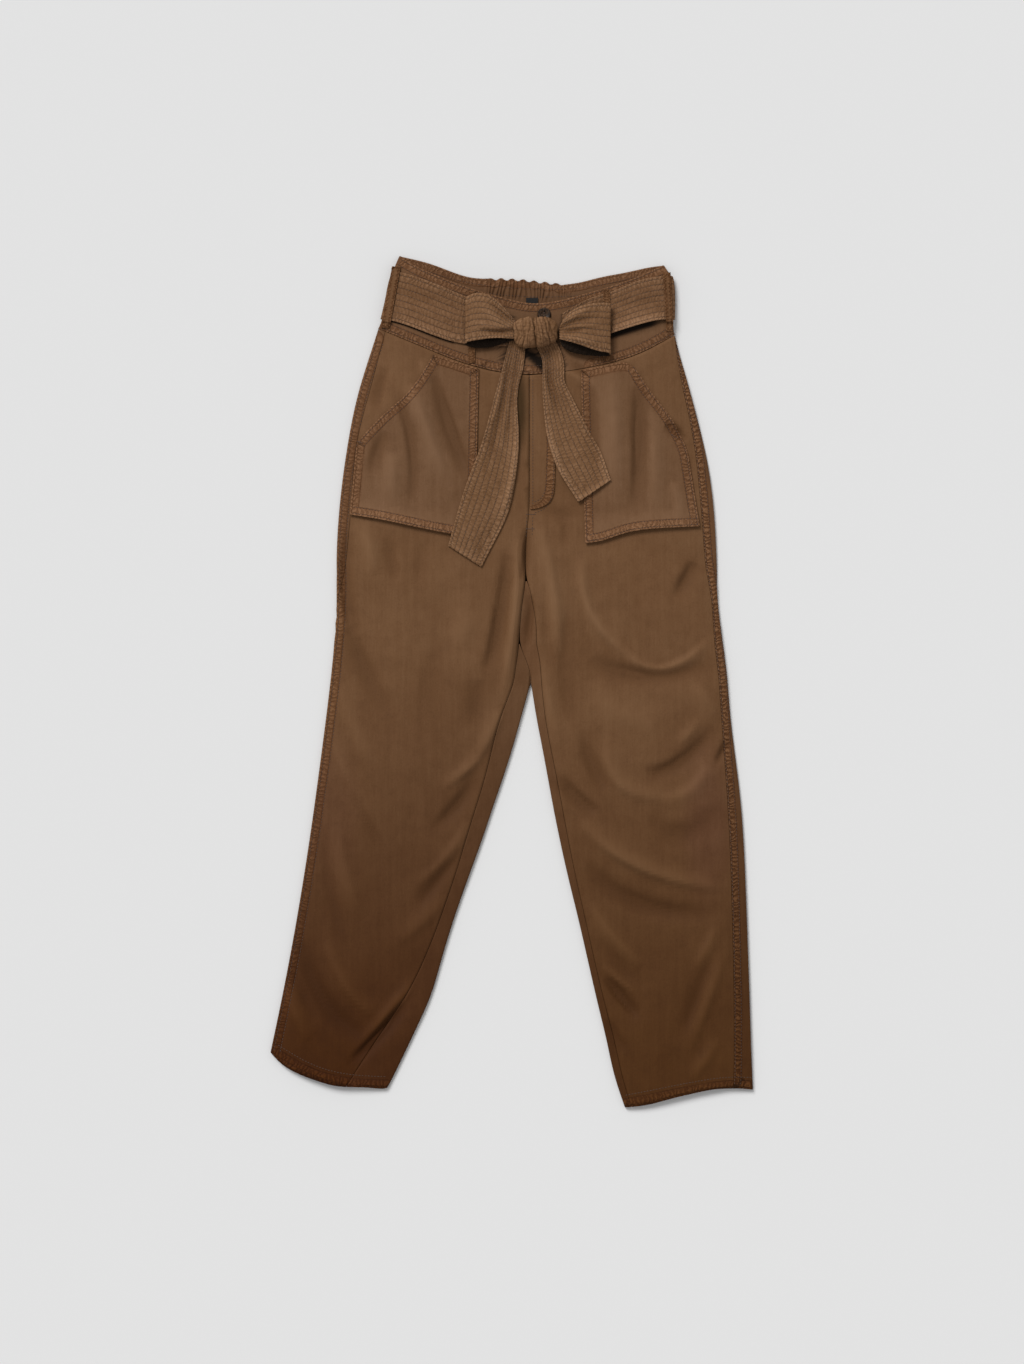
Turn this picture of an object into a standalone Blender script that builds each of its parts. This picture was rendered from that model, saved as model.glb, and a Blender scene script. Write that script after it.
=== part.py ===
"""Tapered, high-waisted trousers with a tie belt, laid flat on a surface with the front up.

X runs to the viewer's right, Y from the hems to the waist, Z up from the surface they lie on. The origin is
under the middle of the garment. "Left" and "right" are the viewer's. Lengths are in millimetres until a mesh
is placed, when MM turns them into Blender's metres.

Each leg is a flattened tube: flat below, folded round at both edges, and a little arched on top. A front
panel covers the top from the side seam to the inseam, and a back panel takes the rest of the ring. Every
further piece is laid on those already there.
"""

import math
from collections import namedtuple

import bmesh
import bpy
from mathutils import Vector
from mathutils.bvhtree import BVHTree

MM = 0.001

# ---------------------------------------------------------------- driving dimensions

PANEL_WALL = 1.2  # soft twill with its seam allowances
BAND_WALL = 1.6  # two layers and an interlining
BELT_WALL = 1.6
BELT_LOOP_WALL = 0.9
POCKET_WALL = 1.2
POCKET_STAND = 1.6  # how far the pockets' lower edges stand off the legs
FLY_WALL = 1.0
SEAM_GAP = 0.3
HALF_GAP = 0.18  # each side of a seam, a little over half the gap to allow for the slant of the seam
WAIST_HALF_GAP = 0.3  # the same at the waist seam, whose curve the panels and the band cut up differently
FOLD_RADIUS = 2.6  # outer radius of the cloth where it turns at the garment's edges
DOME_WIDTH = 75.0  # how far in from a fold the top still rises

APEX_Y = -2.4  # where the legs part
CROTCH_Y = 123.0  # where the four panels meet on the front

BELT_CLEAR = 2.2  # the waistband is set in by this, so that the belt round it reaches the outline
BAND_LIFT = 3.1  # the back waistband lies this far up, on the belt that passes below it

GATHERS = 19  # elastic gathers at the centre back
GATHER_FROM, GATHER_TO = -29.0, 62.0
GATHER_HEIGHT = 0.9
GATHER_LOBES = 7  # waves along the gathered top edge
GATHER_LOBE_DEPTH = 1.6

BUTTON_RADIUS = 8.2
BUTTON_THICKNESS = 3.2
BUTTON_HOLE_RADIUS = 1.1
BUTTON_HOLE_SPACING = 3.6
BUTTON_AT = (37.8, 431.9)

KNOT_AT = (30.5, 409.5)
KNOT_HALF_SIZE = (23.6, 17.4, 10.3)
KNOT_PLEATS = 7
KNOT_PLEAT_DEPTH = 0.05  # share of the knot's half size

LABEL_SIZE = (14.0, 11.0, 0.6)
LABEL_AT = (23.6, 447.0)

# Linear colours and the roughness that goes with them.
Look = namedtuple("Look", "red green blue roughness")
PANEL_TWILL = Look(0.165, 0.085, 0.040, 0.85)
BACK_TWILL = Look(0.148, 0.076, 0.036, 0.85)
POCKET_TWILL = Look(0.175, 0.090, 0.042, 0.85)
BELT_TWILL = Look(0.190, 0.098, 0.046, 0.85)
BOW_TWILL = Look(0.198, 0.102, 0.048, 0.8)
LABEL_SATIN = Look(0.020, 0.020, 0.022, 0.6)
BUTTON_HORN = Look(0.045, 0.024, 0.014, 0.35)

# ---------------------------------------------------------------- tables, one row for each section or fold

Edge = namedtuple("Edge", "y x")
Across = namedtuple("Across", "x y")
Inset = namedtuple("Inset", "y distance")
Hem = namedtuple("Hem", "share y")
Height = namedtuple("Height", "y z")
Crease = namedtuple("Crease", "x0 y0 x1 y1 width depth")
Strip = namedtuple("Strip", "left_x left_y right_x right_y")
BowSection = namedtuple("BowSection", "x top bottom under_bottom z_upper z_lower")
Side = namedtuple("Side", "name outer inner inseam side_seam hem strip_top_y")
Pocket = namedtuple("Pocket", "name side_x inner_x opening bottom")  # side_x, inner_x: below and above
Loop = namedtuple("Loop", "name top bottom width")

LEFT_OUTER = (
    Edge(-436, -285), Edge(-375, -272), Edge(-281, -254.3), Edge(-186, -239), Edge(-92, -226),
    Edge(2, -214.2), Edge(50, -209.5), Edge(97, -207.1), Edge(144, -207.1), Edge(191, -204.7),
    Edge(238, -200), Edge(286, -192.9), Edge(333, -183.5), Edge(380, -169.3), Edge(404, -161.1),
    Edge(433, -154), Edge(451, -149.6), Edge(474, -145.7), Edge(486, -139.8), Edge(502, -132.8),
)
RIGHT_OUTER = (
    Edge(-480, 285), Edge(-422, 282.6), Edge(-328, 279.1), Edge(-234, 275.5), Edge(-186, 273.2),
    Edge(-139, 269.6), Edge(-92, 263.7), Edge(-45, 257.8), Edge(2, 254.3), Edge(50, 248.4),
    Edge(97, 242.5), Edge(144, 241.3), Edge(191, 239), Edge(238, 234.2), Edge(286, 224.8),
    Edge(333, 213), Edge(380, 199.4), Edge(411, 192), Edge(452, 192.8), Edge(474, 191.2),
    Edge(481, 187.9), Edge(491, 179.1),
)
LEFT_INNER = (
    Edge(-483, -149.3), Edge(-470, -141), Edge(-422, -119.8), Edge(-375, -96.2), Edge(-328, -83.2),
    Edge(-281, -69), Edge(-234, -52.5), Edge(-186, -34.8), Edge(-139, -19.5), Edge(-92, -3),
    Edge(-45, 10), Edge(-21, 17.1), Edge(APEX_Y, 22.0),
)
RIGHT_INNER = (
    Edge(-501, 132.8), Edge(-470, 121), Edge(-422, 111.5), Edge(-375, 99.7), Edge(-328, 89.1),
    Edge(-281, 78.5), Edge(-234, 66.7), Edge(-186, 56), Edge(-139, 46.6), Edge(-92, 38.4),
    Edge(-45, 28.9), Edge(-21, 24.6), Edge(APEX_Y, 22.4),
)
# The centre front seam, and below the crotch the edge of the right leg's cloth over the left one's.
CENTRE_FRONT = (
    Edge(APEX_Y, 22.2), Edge(12, 21.6), Edge(33, 13.6), Edge(48, 8.6), Edge(85, 11.2),
    Edge(CROTCH_Y, 15.9), Edge(164, 15.9), Edge(197, 20.6), Edge(361, 20.6),
)
CENTRE_BACK = (Edge(APEX_Y, 22.2), Edge(40, 21), Edge(400, 20.6))

# How far the inseam lies inside the inner edge, on top.
LEFT_INSEAM = (
    Inset(-478, 50), Inset(-406, 36), Inset(-353, 25), Inset(-307, 17), Inset(-237, 15.5),
    Inset(-199, 19), Inset(-142, 20), Inset(-100, 22), Inset(-63, 25), Inset(-30, 25), Inset(-8, 20),
    Inset(12, 18), Inset(33, 6.3), Inset(48, 0),
)
RIGHT_INSEAM = (
    Inset(-500, 8), Inset(-446, 9.7), Inset(-379, 8.4), Inset(-303, 8), Inset(-218, 9.6),
    Inset(-130, 11), Inset(-58, 9.7), Inset(-4, 12.4), Inset(12, 12.4), Inset(33, 18), Inset(58, 20),
    Inset(74, 17.5), Inset(92, 12), Inset(109, 6.8), Inset(CROTCH_Y, 0),
)
# How far round the fold the side seam lies: above 0 on top, below 0 underneath.
LEFT_SIDE_SEAM = (
    Inset(-480, -7.5), Inset(34, -7.5), Inset(70, -3), Inset(106, 5.5), Inset(144, 13.3),
    Inset(199, 15.5), Inset(281, 12), Inset(348, 15), Inset(408, 11),
)
RIGHT_SIDE_SEAM = (
    Inset(-480, 24), Inset(-362, 20), Inset(-215, 18.3), Inset(-151, 17.5), Inset(-79, 14),
    Inset(-25, 12), Inset(39, 12), Inset(93, 8.7), Inset(144, 15.5), Inset(209, 17), Inset(257, 15),
    Inset(304, 11.5), Inset(353, 9.5), Inset(406, 2),
)
# The hems, by the share of the way from the outer to the inner edge.
LEFT_HEM = (
    Hem(0, -436), Hem(0.09, -451), Hem(0.36, -468.5), Hem(0.6, -476.5), Hem(0.85, -477.5),
    Hem(0.94, -481), Hem(1, -478),
)
RIGHT_HEM = (Hem(0, -480.3), Hem(0.18, -478), Hem(0.57, -488.5), Hem(0.85, -499), Hem(1, -501.4))

FRONT_SEAM = (
    Across(-155, 415.4), Across(-105, 394), Across(-60, 376), Across(-14, 364), Across(22, 361.1),
    Across(58, 364.6), Across(114, 374.5), Across(150, 386), Across(192, 409),
)
BACK_SEAM = (
    Across(-155, 415.4), Across(-120, 409), Across(-60, 396), Across(20, 389), Across(100, 393),
    Across(150, 401), Across(192, 409),
)
FRONT_TOP = (
    Across(-133, 502), Across(-119, 492.3), Across(-90, 478.7), Across(-57, 465.3), Across(-10, 451.9),
    Across(22, 444.2), Across(29, 444.2), Across(62, 449.9), Across(104, 461.7), Across(134, 470.8),
    Across(163, 484), Across(179, 491),
)
BACK_TOP = (
    Across(-133, 502), Across(-98, 493.8), Across(-65, 481.1), Across(-50, 476.1), Across(-29, 475.4),
    Across(4, 474.2), Across(40, 470.6), Across(62, 468.6), Across(81, 470.8), Across(104, 477.4),
    Across(134, 482.6), Across(167, 489.9), Across(179, 491),
)
BELT_LEFT_TOP = (
    Across(-150, 484), Across(-123, 479.6), Across(-88, 467.3), Across(-50, 450.8), Across(0, 428),
)
BELT_LEFT_BOTTOM = (
    Across(-150, 427.6), Across(-123, 419.4), Across(-84, 404.3), Across(-60, 397.5), Across(0, 394),
)
BELT_RIGHT_TOP = (
    Across(57, 432), Across(93, 451.9), Across(117, 458.4), Across(150, 472.5), Across(175, 477.4),
    Across(192, 478),
)
BELT_RIGHT_BOTTOM = (
    Across(57, 398), Across(90, 400), Across(115, 408.8), Across(155, 421.3), Across(175, 426.6),
    Across(192, 427.6),
)
# The band of waistband height, 0 at its seam and 1 at its top, that the belt covers at the back.
BELT_BACK_FROM = (Across(-150, 0.14), Across(20, 0.17), Across(190, 0.22))
BELT_BACK_TO = (Across(-150, 0.79), Across(20, 0.83), Across(190, 0.84))

TOP_HEIGHT = (
    Height(-480, 8.6), Height(-300, 9.6), Height(-100, 10.6), Height(60, 11.4), Height(200, 12),
    Height(360, 12.6), Height(500, 12.6),
)
# The largest folds: a soft trough or ridge from one point to another.
CREASES = (
    Crease(-150, 110, -185, -40, 42, -1.8),
    Crease(-95, -110, -140, -300, 60, -2.2),
    Crease(-230, -300, -190, -420, 34, 1.4),
    Crease(-205, -250, -150, -390, 30, -1.2),
    Crease(-60, 60, -100, -90, 40, 1.6),
    Crease(35, 150, 62, -60, 26, 1.6),
    Crease(58, 140, 92, -20, 26, -1.7),
    Crease(100, 150, 225, 30, 44, 1.6),
    Crease(110, 90, 235, 0, 38, -2.0),
    Crease(255, -75, 130, -120, 40, -1.5),
    Crease(60, -130, 230, -260, 50, 1.6),
    Crease(110, -230, 230, -330, 46, -1.4),
    Crease(-80, 350, -55, 240, 30, -1.4),
    Crease(-140, 330, -120, 215, 34, 1.3),
    Crease(96, 250, 112, 180, 28, -1.2),
)

LEFT = Side("left", LEFT_OUTER, LEFT_INNER, LEFT_INSEAM, LEFT_SIDE_SEAM, LEFT_HEM, 44.6)
RIGHT = Side("right", RIGHT_OUTER, RIGHT_INNER, RIGHT_INSEAM, RIGHT_SIDE_SEAM, RIGHT_HEM, 118.5)

POCKETS = (
    Pocket(
        "pocket_left", (-191, -183), (-43, -39),
        opening=(Across(-184, 281), Across(-146, 320), Across(-120, 341), Across(-92, 386)),
        bottom=(Across(-191, 197), Across(-154, 191), Across(-117, 183), Across(-72, 174), Across(-43, 170)),
    ),
    Pocket(
        "pocket_right", (221, 206), (86, 81),
        opening=(Across(140, 380), Across(159, 346), Across(188, 311), Across(207, 274)),
        bottom=(Across(86, 163), Across(107, 165), Across(130, 175), Across(165, 180), Across(221, 183)),
    ),
)
# The edge of the fly placket, along its J-shaped stitch line.
FLY_EDGE = (Edge(203, 28), Edge(207, 41), Edge(213, 47.5), Edge(226, 50.2), Edge(359, 51.5))
BELT_LOOPS = (
    Loop("belt_loop_side_left", (-136, 489), (-149, 417), 10.5),
    Loop("belt_loop_side_right", (182, 482), (186, 413), 9.0),
    Loop("belt_loop_front_left", (-47, 459), (-47.5, 375), 8.0),
    Loop("belt_loop_front_right", (111, 461), (111, 377), 8.0),
)

LEFT_TAIL = (
    Strip(-3, 397, 9, 391), Strip(-12, 366, 10, 366), Strip(-22, 330, 6, 330), Strip(-35, 282, 8, 284),
    Strip(-56, 226, 0, 214), Strip(-75, 160, -36, 135),
)
RIGHT_TAIL = (
    Strip(30, 386, 40, 393), Strip(35, 372, 49, 378), Strip(36, 338, 68, 340), Strip(40, 296, 89, 298),
    Strip(50, 258, 104, 271), Strip(78, 211, 116, 237),
)
LEFT_BOW = (
    BowSection(5.6, 422, 403, 403, 21.7, 17.0), BowSection(-2, 430, 402, 400, 23.6, 16.4),
    BowSection(-14, 444, 403, 396, 26.6, 15.9), BowSection(-30, 455, 402, 392, 27.5, 15.7),
    BowSection(-44, 456, 400, 392, 25.6, 16.4), BowSection(-51, 452, 399, 394, 23.4, 17.4),
)
RIGHT_BOW = (
    BowSection(55.6, 417, 402, 399, 23.0, 18.0), BowSection(62, 428, 400, 390, 25.0, 17.8),
    BowSection(76, 439, 396, 385, 28.0, 17.8), BowSection(90, 442, 391, 383, 29.0, 18.2),
    BowSection(102, 444, 387, 382, 28.0, 19.0), BowSection(112, 444, 386, 382, 25.6, 19.4),
)


# ---------------------------------------------------------------- curves

def mix(a, b, share):
    return a + (b - a) * share


def smooth(share):
    share = min(max(share, 0.0), 1.0)
    return share * share * (3 - 2 * share)


def read(rows, at):
    """The value at a place, on a smooth curve through the rows that never swings past them."""
    if at <= rows[0][0]:
        return rows[0][1]
    if at >= rows[-1][0]:
        return rows[-1][1]
    k = max(i for i, row in enumerate(rows) if row[0] <= at)
    slopes = [(b[1] - a[1]) / (b[0] - a[0]) for a, b in zip(rows, rows[1:])]

    def tangent(i):
        if i in (0, len(rows) - 1):
            return slopes[min(i, len(slopes) - 1)]
        before, after = slopes[i - 1], slopes[i]
        return 0.0 if before * after <= 0 else 2 * before * after / (before + after)

    span = rows[k + 1][0] - rows[k][0]
    t = (at - rows[k][0]) / span
    return (
        (2 * t**3 - 3 * t**2 + 1) * rows[k][1]
        + (t**3 - 2 * t**2 + t) * span * tangent(k)
        + (3 * t**2 - 2 * t**3) * rows[k + 1][1]
        + (t**3 - t**2) * span * tangent(k + 1)
    )


def spread(*stops):
    """Values from stop to stop, evenly: spread(0, (4, 10), (2, 30)) has 4 steps to 10 and 2 more to 30."""
    values = [stops[0]]
    for cells, end in stops[1:]:
        start = values[-1]
        values += [mix(start, end, (i + 1) / cells) for i in range(cells)]
    return values


# ---------------------------------------------------------------- the top surface of the lying cloth

def belt_inset(y, seam_y):
    return BELT_CLEAR * smooth((y - seam_y) / 9) * smooth((489 - y) / 9)


def left_edge(y):
    return read(LEFT_OUTER, y) + belt_inset(y, 415)


def right_edge(y):
    return read(RIGHT_OUTER, y) - belt_inset(y, 408)


def rise(distance):
    """How far the top has risen at a distance inside a fold, from 0 to 1."""
    return 1 - (1 - min(max(distance / DOME_WIDTH, 0.0), 1.0)) ** 2.2


def creases(x, y):
    total = 0.0
    for row in CREASES:
        along = Vector((row.x1 - row.x0, row.y1 - row.y0))
        spot = Vector((x - row.x0, y - row.y0))
        share = spot.dot(along) / along.length_squared
        across = abs(along.x * spot.y - along.y * spot.x) / along.length
        if 0 < share < 1 and across < row.width:
            total += row.depth * math.sin(math.pi * share) * math.cos(math.pi * across / row.width / 2) ** 2
    return total


def edge_distances(x, y):
    """Distances inside the outer edge and inside the inner one, which counts as further up in the trunk."""
    if y > APEX_Y:
        inside = abs(x - read(CENTRE_FRONT, y)) + 0.6 * (y - APEX_Y)
        outer = x - left_edge(y) if x < read(CENTRE_FRONT, y) else right_edge(y) - x
        return outer, inside
    if x < (read(LEFT_INNER, y) + read(RIGHT_INNER, y)) / 2:
        return x - read(LEFT_OUTER, y), read(LEFT_INNER, y) - x
    return read(RIGHT_OUTER, y) - x, x - read(RIGHT_INNER, y)


def band_share(x, y, under=False):
    """0 at the waist seam, 1 at the top edge of the waistband, on the front or under it on the back."""
    seam = read(BACK_SEAM if under else FRONT_SEAM, x)
    return min(max((y - seam) / (read(BACK_TOP if under else FRONT_TOP, x) - seam), 0.0), 1.0)


def band_lift(share):
    """The waistband lies higher where the belt passes below it."""
    return BAND_LIFT * smooth(share / 0.1) * mix(0.2, 1.0, smooth((1 - share) / 0.1))


def cloth_top(x, y):
    """Height of the outside of the front, panels and waistband alike."""
    outer, inner = edge_distances(x, y)
    arch = rise(outer - FOLD_RADIUS) * rise(inner - FOLD_RADIUS)
    guard = smooth((min(outer, inner) - FOLD_RADIUS) / 28)
    top = 2 * FOLD_RADIUS + (read(TOP_HEIGHT, y) - 2 * FOLD_RADIUS) * arch + creases(x, y) * guard
    return top + band_lift(band_share(x, y)) * (1 - arch)


# ---------------------------------------------------------------- making objects

def new_material(name, look):
    material = bpy.data.materials.new(name)
    material.use_nodes = True
    shader = material.node_tree.nodes["Principled BSDF"]
    shader.inputs["Base Color"].default_value = (look.red, look.green, look.blue, 1.0)
    shader.inputs["Roughness"].default_value = look.roughness
    shader.inputs["Metallic"].default_value = 0.0
    return material


def grid_into(bm, across, along, place, wall):
    """A grid of cells on the outside of the cloth. Each corner also keeps its place on the inside.

    place(column, row, depth) gives the point at a depth in the wall.
    """
    inside = bm.verts.layers.float_vector.get("inside") or bm.verts.layers.float_vector.new("inside")
    made = bmesh.ops.create_grid(bm, x_segments=len(across) - 1, y_segments=len(along) - 1, size=0.5)
    for vert in made["verts"]:
        i = round((vert.co.x + 0.5) * (len(across) - 1))
        j = round((vert.co.y + 0.5) * (len(along) - 1))
        vert.co = Vector(place(across[i], along[j], 0.0)) * MM
        vert[inside] = Vector(place(across[i], along[j], wall)) * MM


def thicken(bm):
    """Gives the sheet its wall: a second sheet on the inside, joined to the first round the rims."""
    inside = bm.verts.layers.float_vector["inside"]
    made = bmesh.ops.extrude_face_region(bm, geom=bm.faces[:])
    for vert in made["geom"]:
        if isinstance(vert, bmesh.types.BMVert):
            vert.co = vert[inside]
    bmesh.ops.recalc_face_normals(bm, faces=bm.faces)


def finish(name, bm, look):
    """The object of a mesh, with a material of its own."""
    mesh = bpy.data.meshes.new(name)
    bm.to_mesh(mesh)
    bm.free()
    piece = bpy.data.objects.new(name, mesh)
    bpy.context.scene.collection.objects.link(piece)
    mesh.materials.append(new_material(f"{name}_material", look))
    mesh.shade_smooth()
    mesh.set_sharp_from_angle(angle=math.radians(40))
    return piece


def cloth(name, across, along, place, wall, look):
    bm = bmesh.new()
    grid_into(bm, across, along, place, wall)
    thicken(bm)
    return finish(name, bm, look)


class Pile:
    """What lies on the surface so far, for the next piece to lie on."""

    def __init__(self, pieces):
        graph = bpy.context.evaluated_depsgraph_get()
        points, faces = [], []
        for piece in pieces:
            mesh = piece.evaluated_get(graph).to_mesh()
            first = len(points)
            points += [piece.matrix_world @ vert.co for vert in mesh.vertices]
            faces += [[first + corner for corner in face.vertices] for face in mesh.polygons]
            piece.evaluated_get(graph).to_mesh_clear()
        self.tree = BVHTree.FromPolygons(points, faces)

    def height(self, x, y, reach):
        """The highest point within reach of a place."""
        spots = [(0.0, 0.0)]
        for radius in (reach / 3, 2 * reach / 3, reach):
            turns = [k * math.pi / 6 for k in range(12)]
            spots += [(radius * math.cos(turn), radius * math.sin(turn)) for turn in turns]
        found = []
        for dx, dy in spots:
            hit = self.tree.ray_cast(Vector((x + dx, y + dy, 200)) * MM, Vector((0, 0, -1)))[0]
            if hit:
                found.append(hit.z / MM)
        return max(found, default=0.0)


# ---------------------------------------------------------------- leg panels

TRUNK_HEIGHT = read(FRONT_SEAM, 20.6) - APEX_Y
LEG_ROWS, CROTCH_ROWS, HIP_ROWS = 13, 8, 9
EDGE_CELLS, TOP_CELLS = 4, 8
EDGE_ZONE = 12.5
UNDER_FOLD_CELLS, UNDER_FLAT_CELLS = 6, 4
QUARTER = math.pi * FOLD_RADIUS / 2


def panel_rows():
    """Row values: -1 at the hem, 0 where the legs part, 1 at the waist seam."""
    return spread(
        -1.0, (LEG_ROWS, 0.0), (CROTCH_ROWS, (CROTCH_Y - APEX_Y) / TRUNK_HEIGHT), (HIP_ROWS, 1.0)
    )


def around_fold(distance, depth):
    """(distance inwards, height) at a distance round a fold; no height where it has reached the flat."""
    if abs(distance) >= QUARTER:
        return FOLD_RADIUS + abs(distance) - QUARTER, None
    angle, radius = distance / FOLD_RADIUS, FOLD_RADIUS - depth
    return FOLD_RADIUS - radius * math.cos(angle), FOLD_RADIUS + radius * math.sin(angle)


def inner_edge(side, row, y, under):
    if row <= 0:
        return read(side.inner, y)
    return read(CENTRE_BACK if under else CENTRE_FRONT, y)


def waist_height(side, share, under):
    y = 400.0
    for _ in range(4):
        x = mix(read(side.outer, y), read(CENTRE_FRONT, y), share)
        y = read(BACK_SEAM if under else FRONT_SEAM, x)
    return y - WAIST_HALF_GAP


def row_height(side, row, share, under=False):
    if row <= 0:
        return mix(APEX_Y, read(side.hem, share), -row)
    return mix(APEX_Y, waist_height(side, share, under), row)


def row_width(side, row, under=False):
    outer = read(side.outer, row_height(side, row, 0))
    return abs(inner_edge(side, row, row_height(side, row, 1, under), under) - outer)


def spot_on_leg(side, row, inside, under=False):
    """(x, y) at a distance inside the outer edge, along a row."""
    share = inside / row_width(side, row, under)
    y = row_height(side, row, share, under)
    return mix(read(side.outer, y), inner_edge(side, row, y, under), share), y


def front_panel(side):
    def place(column, row, depth):
        seam = read(side.side_seam, row_height(side, row, 0)) + HALF_GAP
        distance = seam + EDGE_ZONE * min(column, EDGE_CELLS) / EDGE_CELLS
        inside, z = around_fold(distance, depth)
        if column > EDGE_CELLS:
            inseam = read(side.inseam, row_height(side, row, 1))
            last = row_width(side, row) - inseam - HALF_GAP
            inside = mix(inside, last, (column - EDGE_CELLS) / TOP_CELLS)
        x, y = spot_on_leg(side, row, inside)
        if z is None:
            z = depth if distance < 0 else cloth_top(x, y) - depth
        return x, y, z

    columns = range(EDGE_CELLS + TOP_CELLS + 1)
    return cloth(f"front_{side.name}", columns, panel_rows(), place, PANEL_WALL, PANEL_TWILL)


def back_panel(side):
    """The underside with the outer fold and, up to the crotch, the inner fold and a strip on top."""
    inner_turns = (7.0, QUARTER, QUARTER / 2, 0.0)
    seam_stops = (5.5, FOLD_RADIUS, 1.3, HALF_GAP)
    strip_turns = (0.0, QUARTER / 2, QUARTER)
    strip_shares = (0.0, 0.12, 0.25, 0.6, 1.0)
    flat_columns = UNDER_FOLD_CELLS + UNDER_FLAT_CELLS

    def underside(column, row, depth):
        seam = read(side.side_seam, row_height(side, row, 0)) - HALF_GAP
        last = min(-(QUARTER + 3), seam - 3)
        distance = mix(seam, last, min(column, UNDER_FOLD_CELLS) / UNDER_FOLD_CELLS)
        inside, z = around_fold(distance, depth)
        under = row > 0 and column > UNDER_FOLD_CELLS
        width = row_width(side, row, under)
        if column > flat_columns:
            k = column - flat_columns
            if row > 0:
                inside = width - seam_stops[k]
            else:
                inward, z = around_fold(-inner_turns[k], depth)
                inside = width - inward
        elif column > UNDER_FOLD_CELLS:
            stop = seam_stops[0] if row > 0 else around_fold(inner_turns[0], 0)[0]
            inside = mix(inside, width - stop, (column - UNDER_FOLD_CELLS) / UNDER_FLAT_CELLS)
        x, y = spot_on_leg(side, row, inside, under)
        if z is None:
            z = cloth_top(x, y) - depth if distance > 0 else depth
        return x, y, z

    def strip(column, row, depth):
        width = row_width(side, row)
        gap = HALF_GAP if row < rows[-1] else 3 * HALF_GAP
        inseam = read(side.inseam, row_height(side, row, 1)) - gap
        z = None
        if row > 0:
            inside = width - mix(HALF_GAP, inseam, strip_shares[column])
        elif column < len(strip_turns):
            inward, z = around_fold(strip_turns[column], depth)
            inside = width - inward
            z = cloth_top(*spot_on_leg(side, row, inside)) - depth if z is None else z
        else:
            inside = width - mix(FOLD_RADIUS, inseam, (column - 2) / 2)
        x, y = spot_on_leg(side, row, inside)
        return x, y, cloth_top(x, y) - depth if z is None else z

    top_row = (side.strip_top_y - APEX_Y) / TRUNK_HEIGHT
    rows = [row for row in panel_rows() if row < top_row - 0.02] + [top_row]
    bm = bmesh.new()
    grid_into(bm, range(flat_columns + 4), panel_rows(), underside, PANEL_WALL)
    grid_into(bm, range(len(strip_shares)), rows, strip, PANEL_WALL)
    bmesh.ops.remove_doubles(bm, verts=bm.verts, dist=0.01 * MM)
    thicken(bm)
    return finish(f"back_{side.name}", bm, BACK_TWILL)


# ---------------------------------------------------------------- waistband and belt

# A column of the waistband: the part is left, flat or right, and the value an angle round a fold or a share.
Girth = namedtuple("Girth", "part value")
BAND_ROWS = (0.0, 0.06, 0.12, 0.3, 0.46, 0.62, 0.76, 0.88, 1.0)
BELT_ROWS = 5
EDGE_TURNS = (0.0, math.radians(30), math.radians(60))


def girth_columns(flat_shares):
    """Columns from the left edge to the right one, round the fold at each."""
    return (
        [Girth("left", turn) for turn in EDGE_TURNS]
        + [Girth("flat", share) for share in flat_shares]
        + [Girth("right", turn) for turn in reversed(EDGE_TURNS)]
    )


def girth_point(column, height_of, out, under):
    """A point on the waistband, or out from it; height_of(x) is the row's Y. Under is the back."""
    x, radius = 20.0, FOLD_RADIUS + out
    for _ in range(6):
        y = height_of(x)
        if column.part == "flat":
            x = mix(left_edge(y) + FOLD_RADIUS, right_edge(y) - FOLD_RADIUS, column.value)
        elif column.part == "left":
            x = left_edge(y) + FOLD_RADIUS - FOLD_RADIUS * math.cos(column.value)
        else:
            x = right_edge(y) - FOLD_RADIUS + FOLD_RADIUS * math.cos(column.value)
    lift = band_lift(band_share(x, y, under))
    if column.part == "flat":
        return x, y, lift - out if under else cloth_top(x, y) + out
    outwards = -1 if column.part == "left" else 1
    turned = radius * math.sin(column.value) + (HALF_GAP if column.value == 0 else 0.0)
    x += outwards * (radius - FOLD_RADIUS) * math.cos(column.value)
    return x, y, lift + FOLD_RADIUS + (-turned if under else turned)


def front_waistband():
    def place(column, share, depth):
        def height_of(x):
            return mix(read(FRONT_SEAM, x) + WAIST_HALF_GAP, read(FRONT_TOP, x), share)

        return girth_point(column, height_of, -depth, False)

    columns = girth_columns(spread(0.0, (14, 1.0)))
    return cloth("waistband_front", columns, BAND_ROWS, place, BAND_WALL, PANEL_TWILL)


def gather(x, share):
    """(height, reach) of the elastic gathers: ridges along Y, and lobes on the top edge."""
    if not GATHER_FROM <= x <= GATHER_TO:
        return 0.0, 0.0
    along = (x - GATHER_FROM) / (GATHER_TO - GATHER_FROM)
    ease = smooth(along / 0.06) * smooth((1 - along) / 0.06)
    ridge = 0.5 - 0.5 * math.cos(2 * math.pi * GATHERS * along)
    lobe = math.sin(2 * math.pi * GATHER_LOBES * along)
    return (
        GATHER_HEIGHT * ridge * ease * smooth((share - 0.3) / 0.3),
        GATHER_LOBE_DEPTH * lobe * ease * smooth((share - 0.8) / 0.2),
    )


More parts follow.
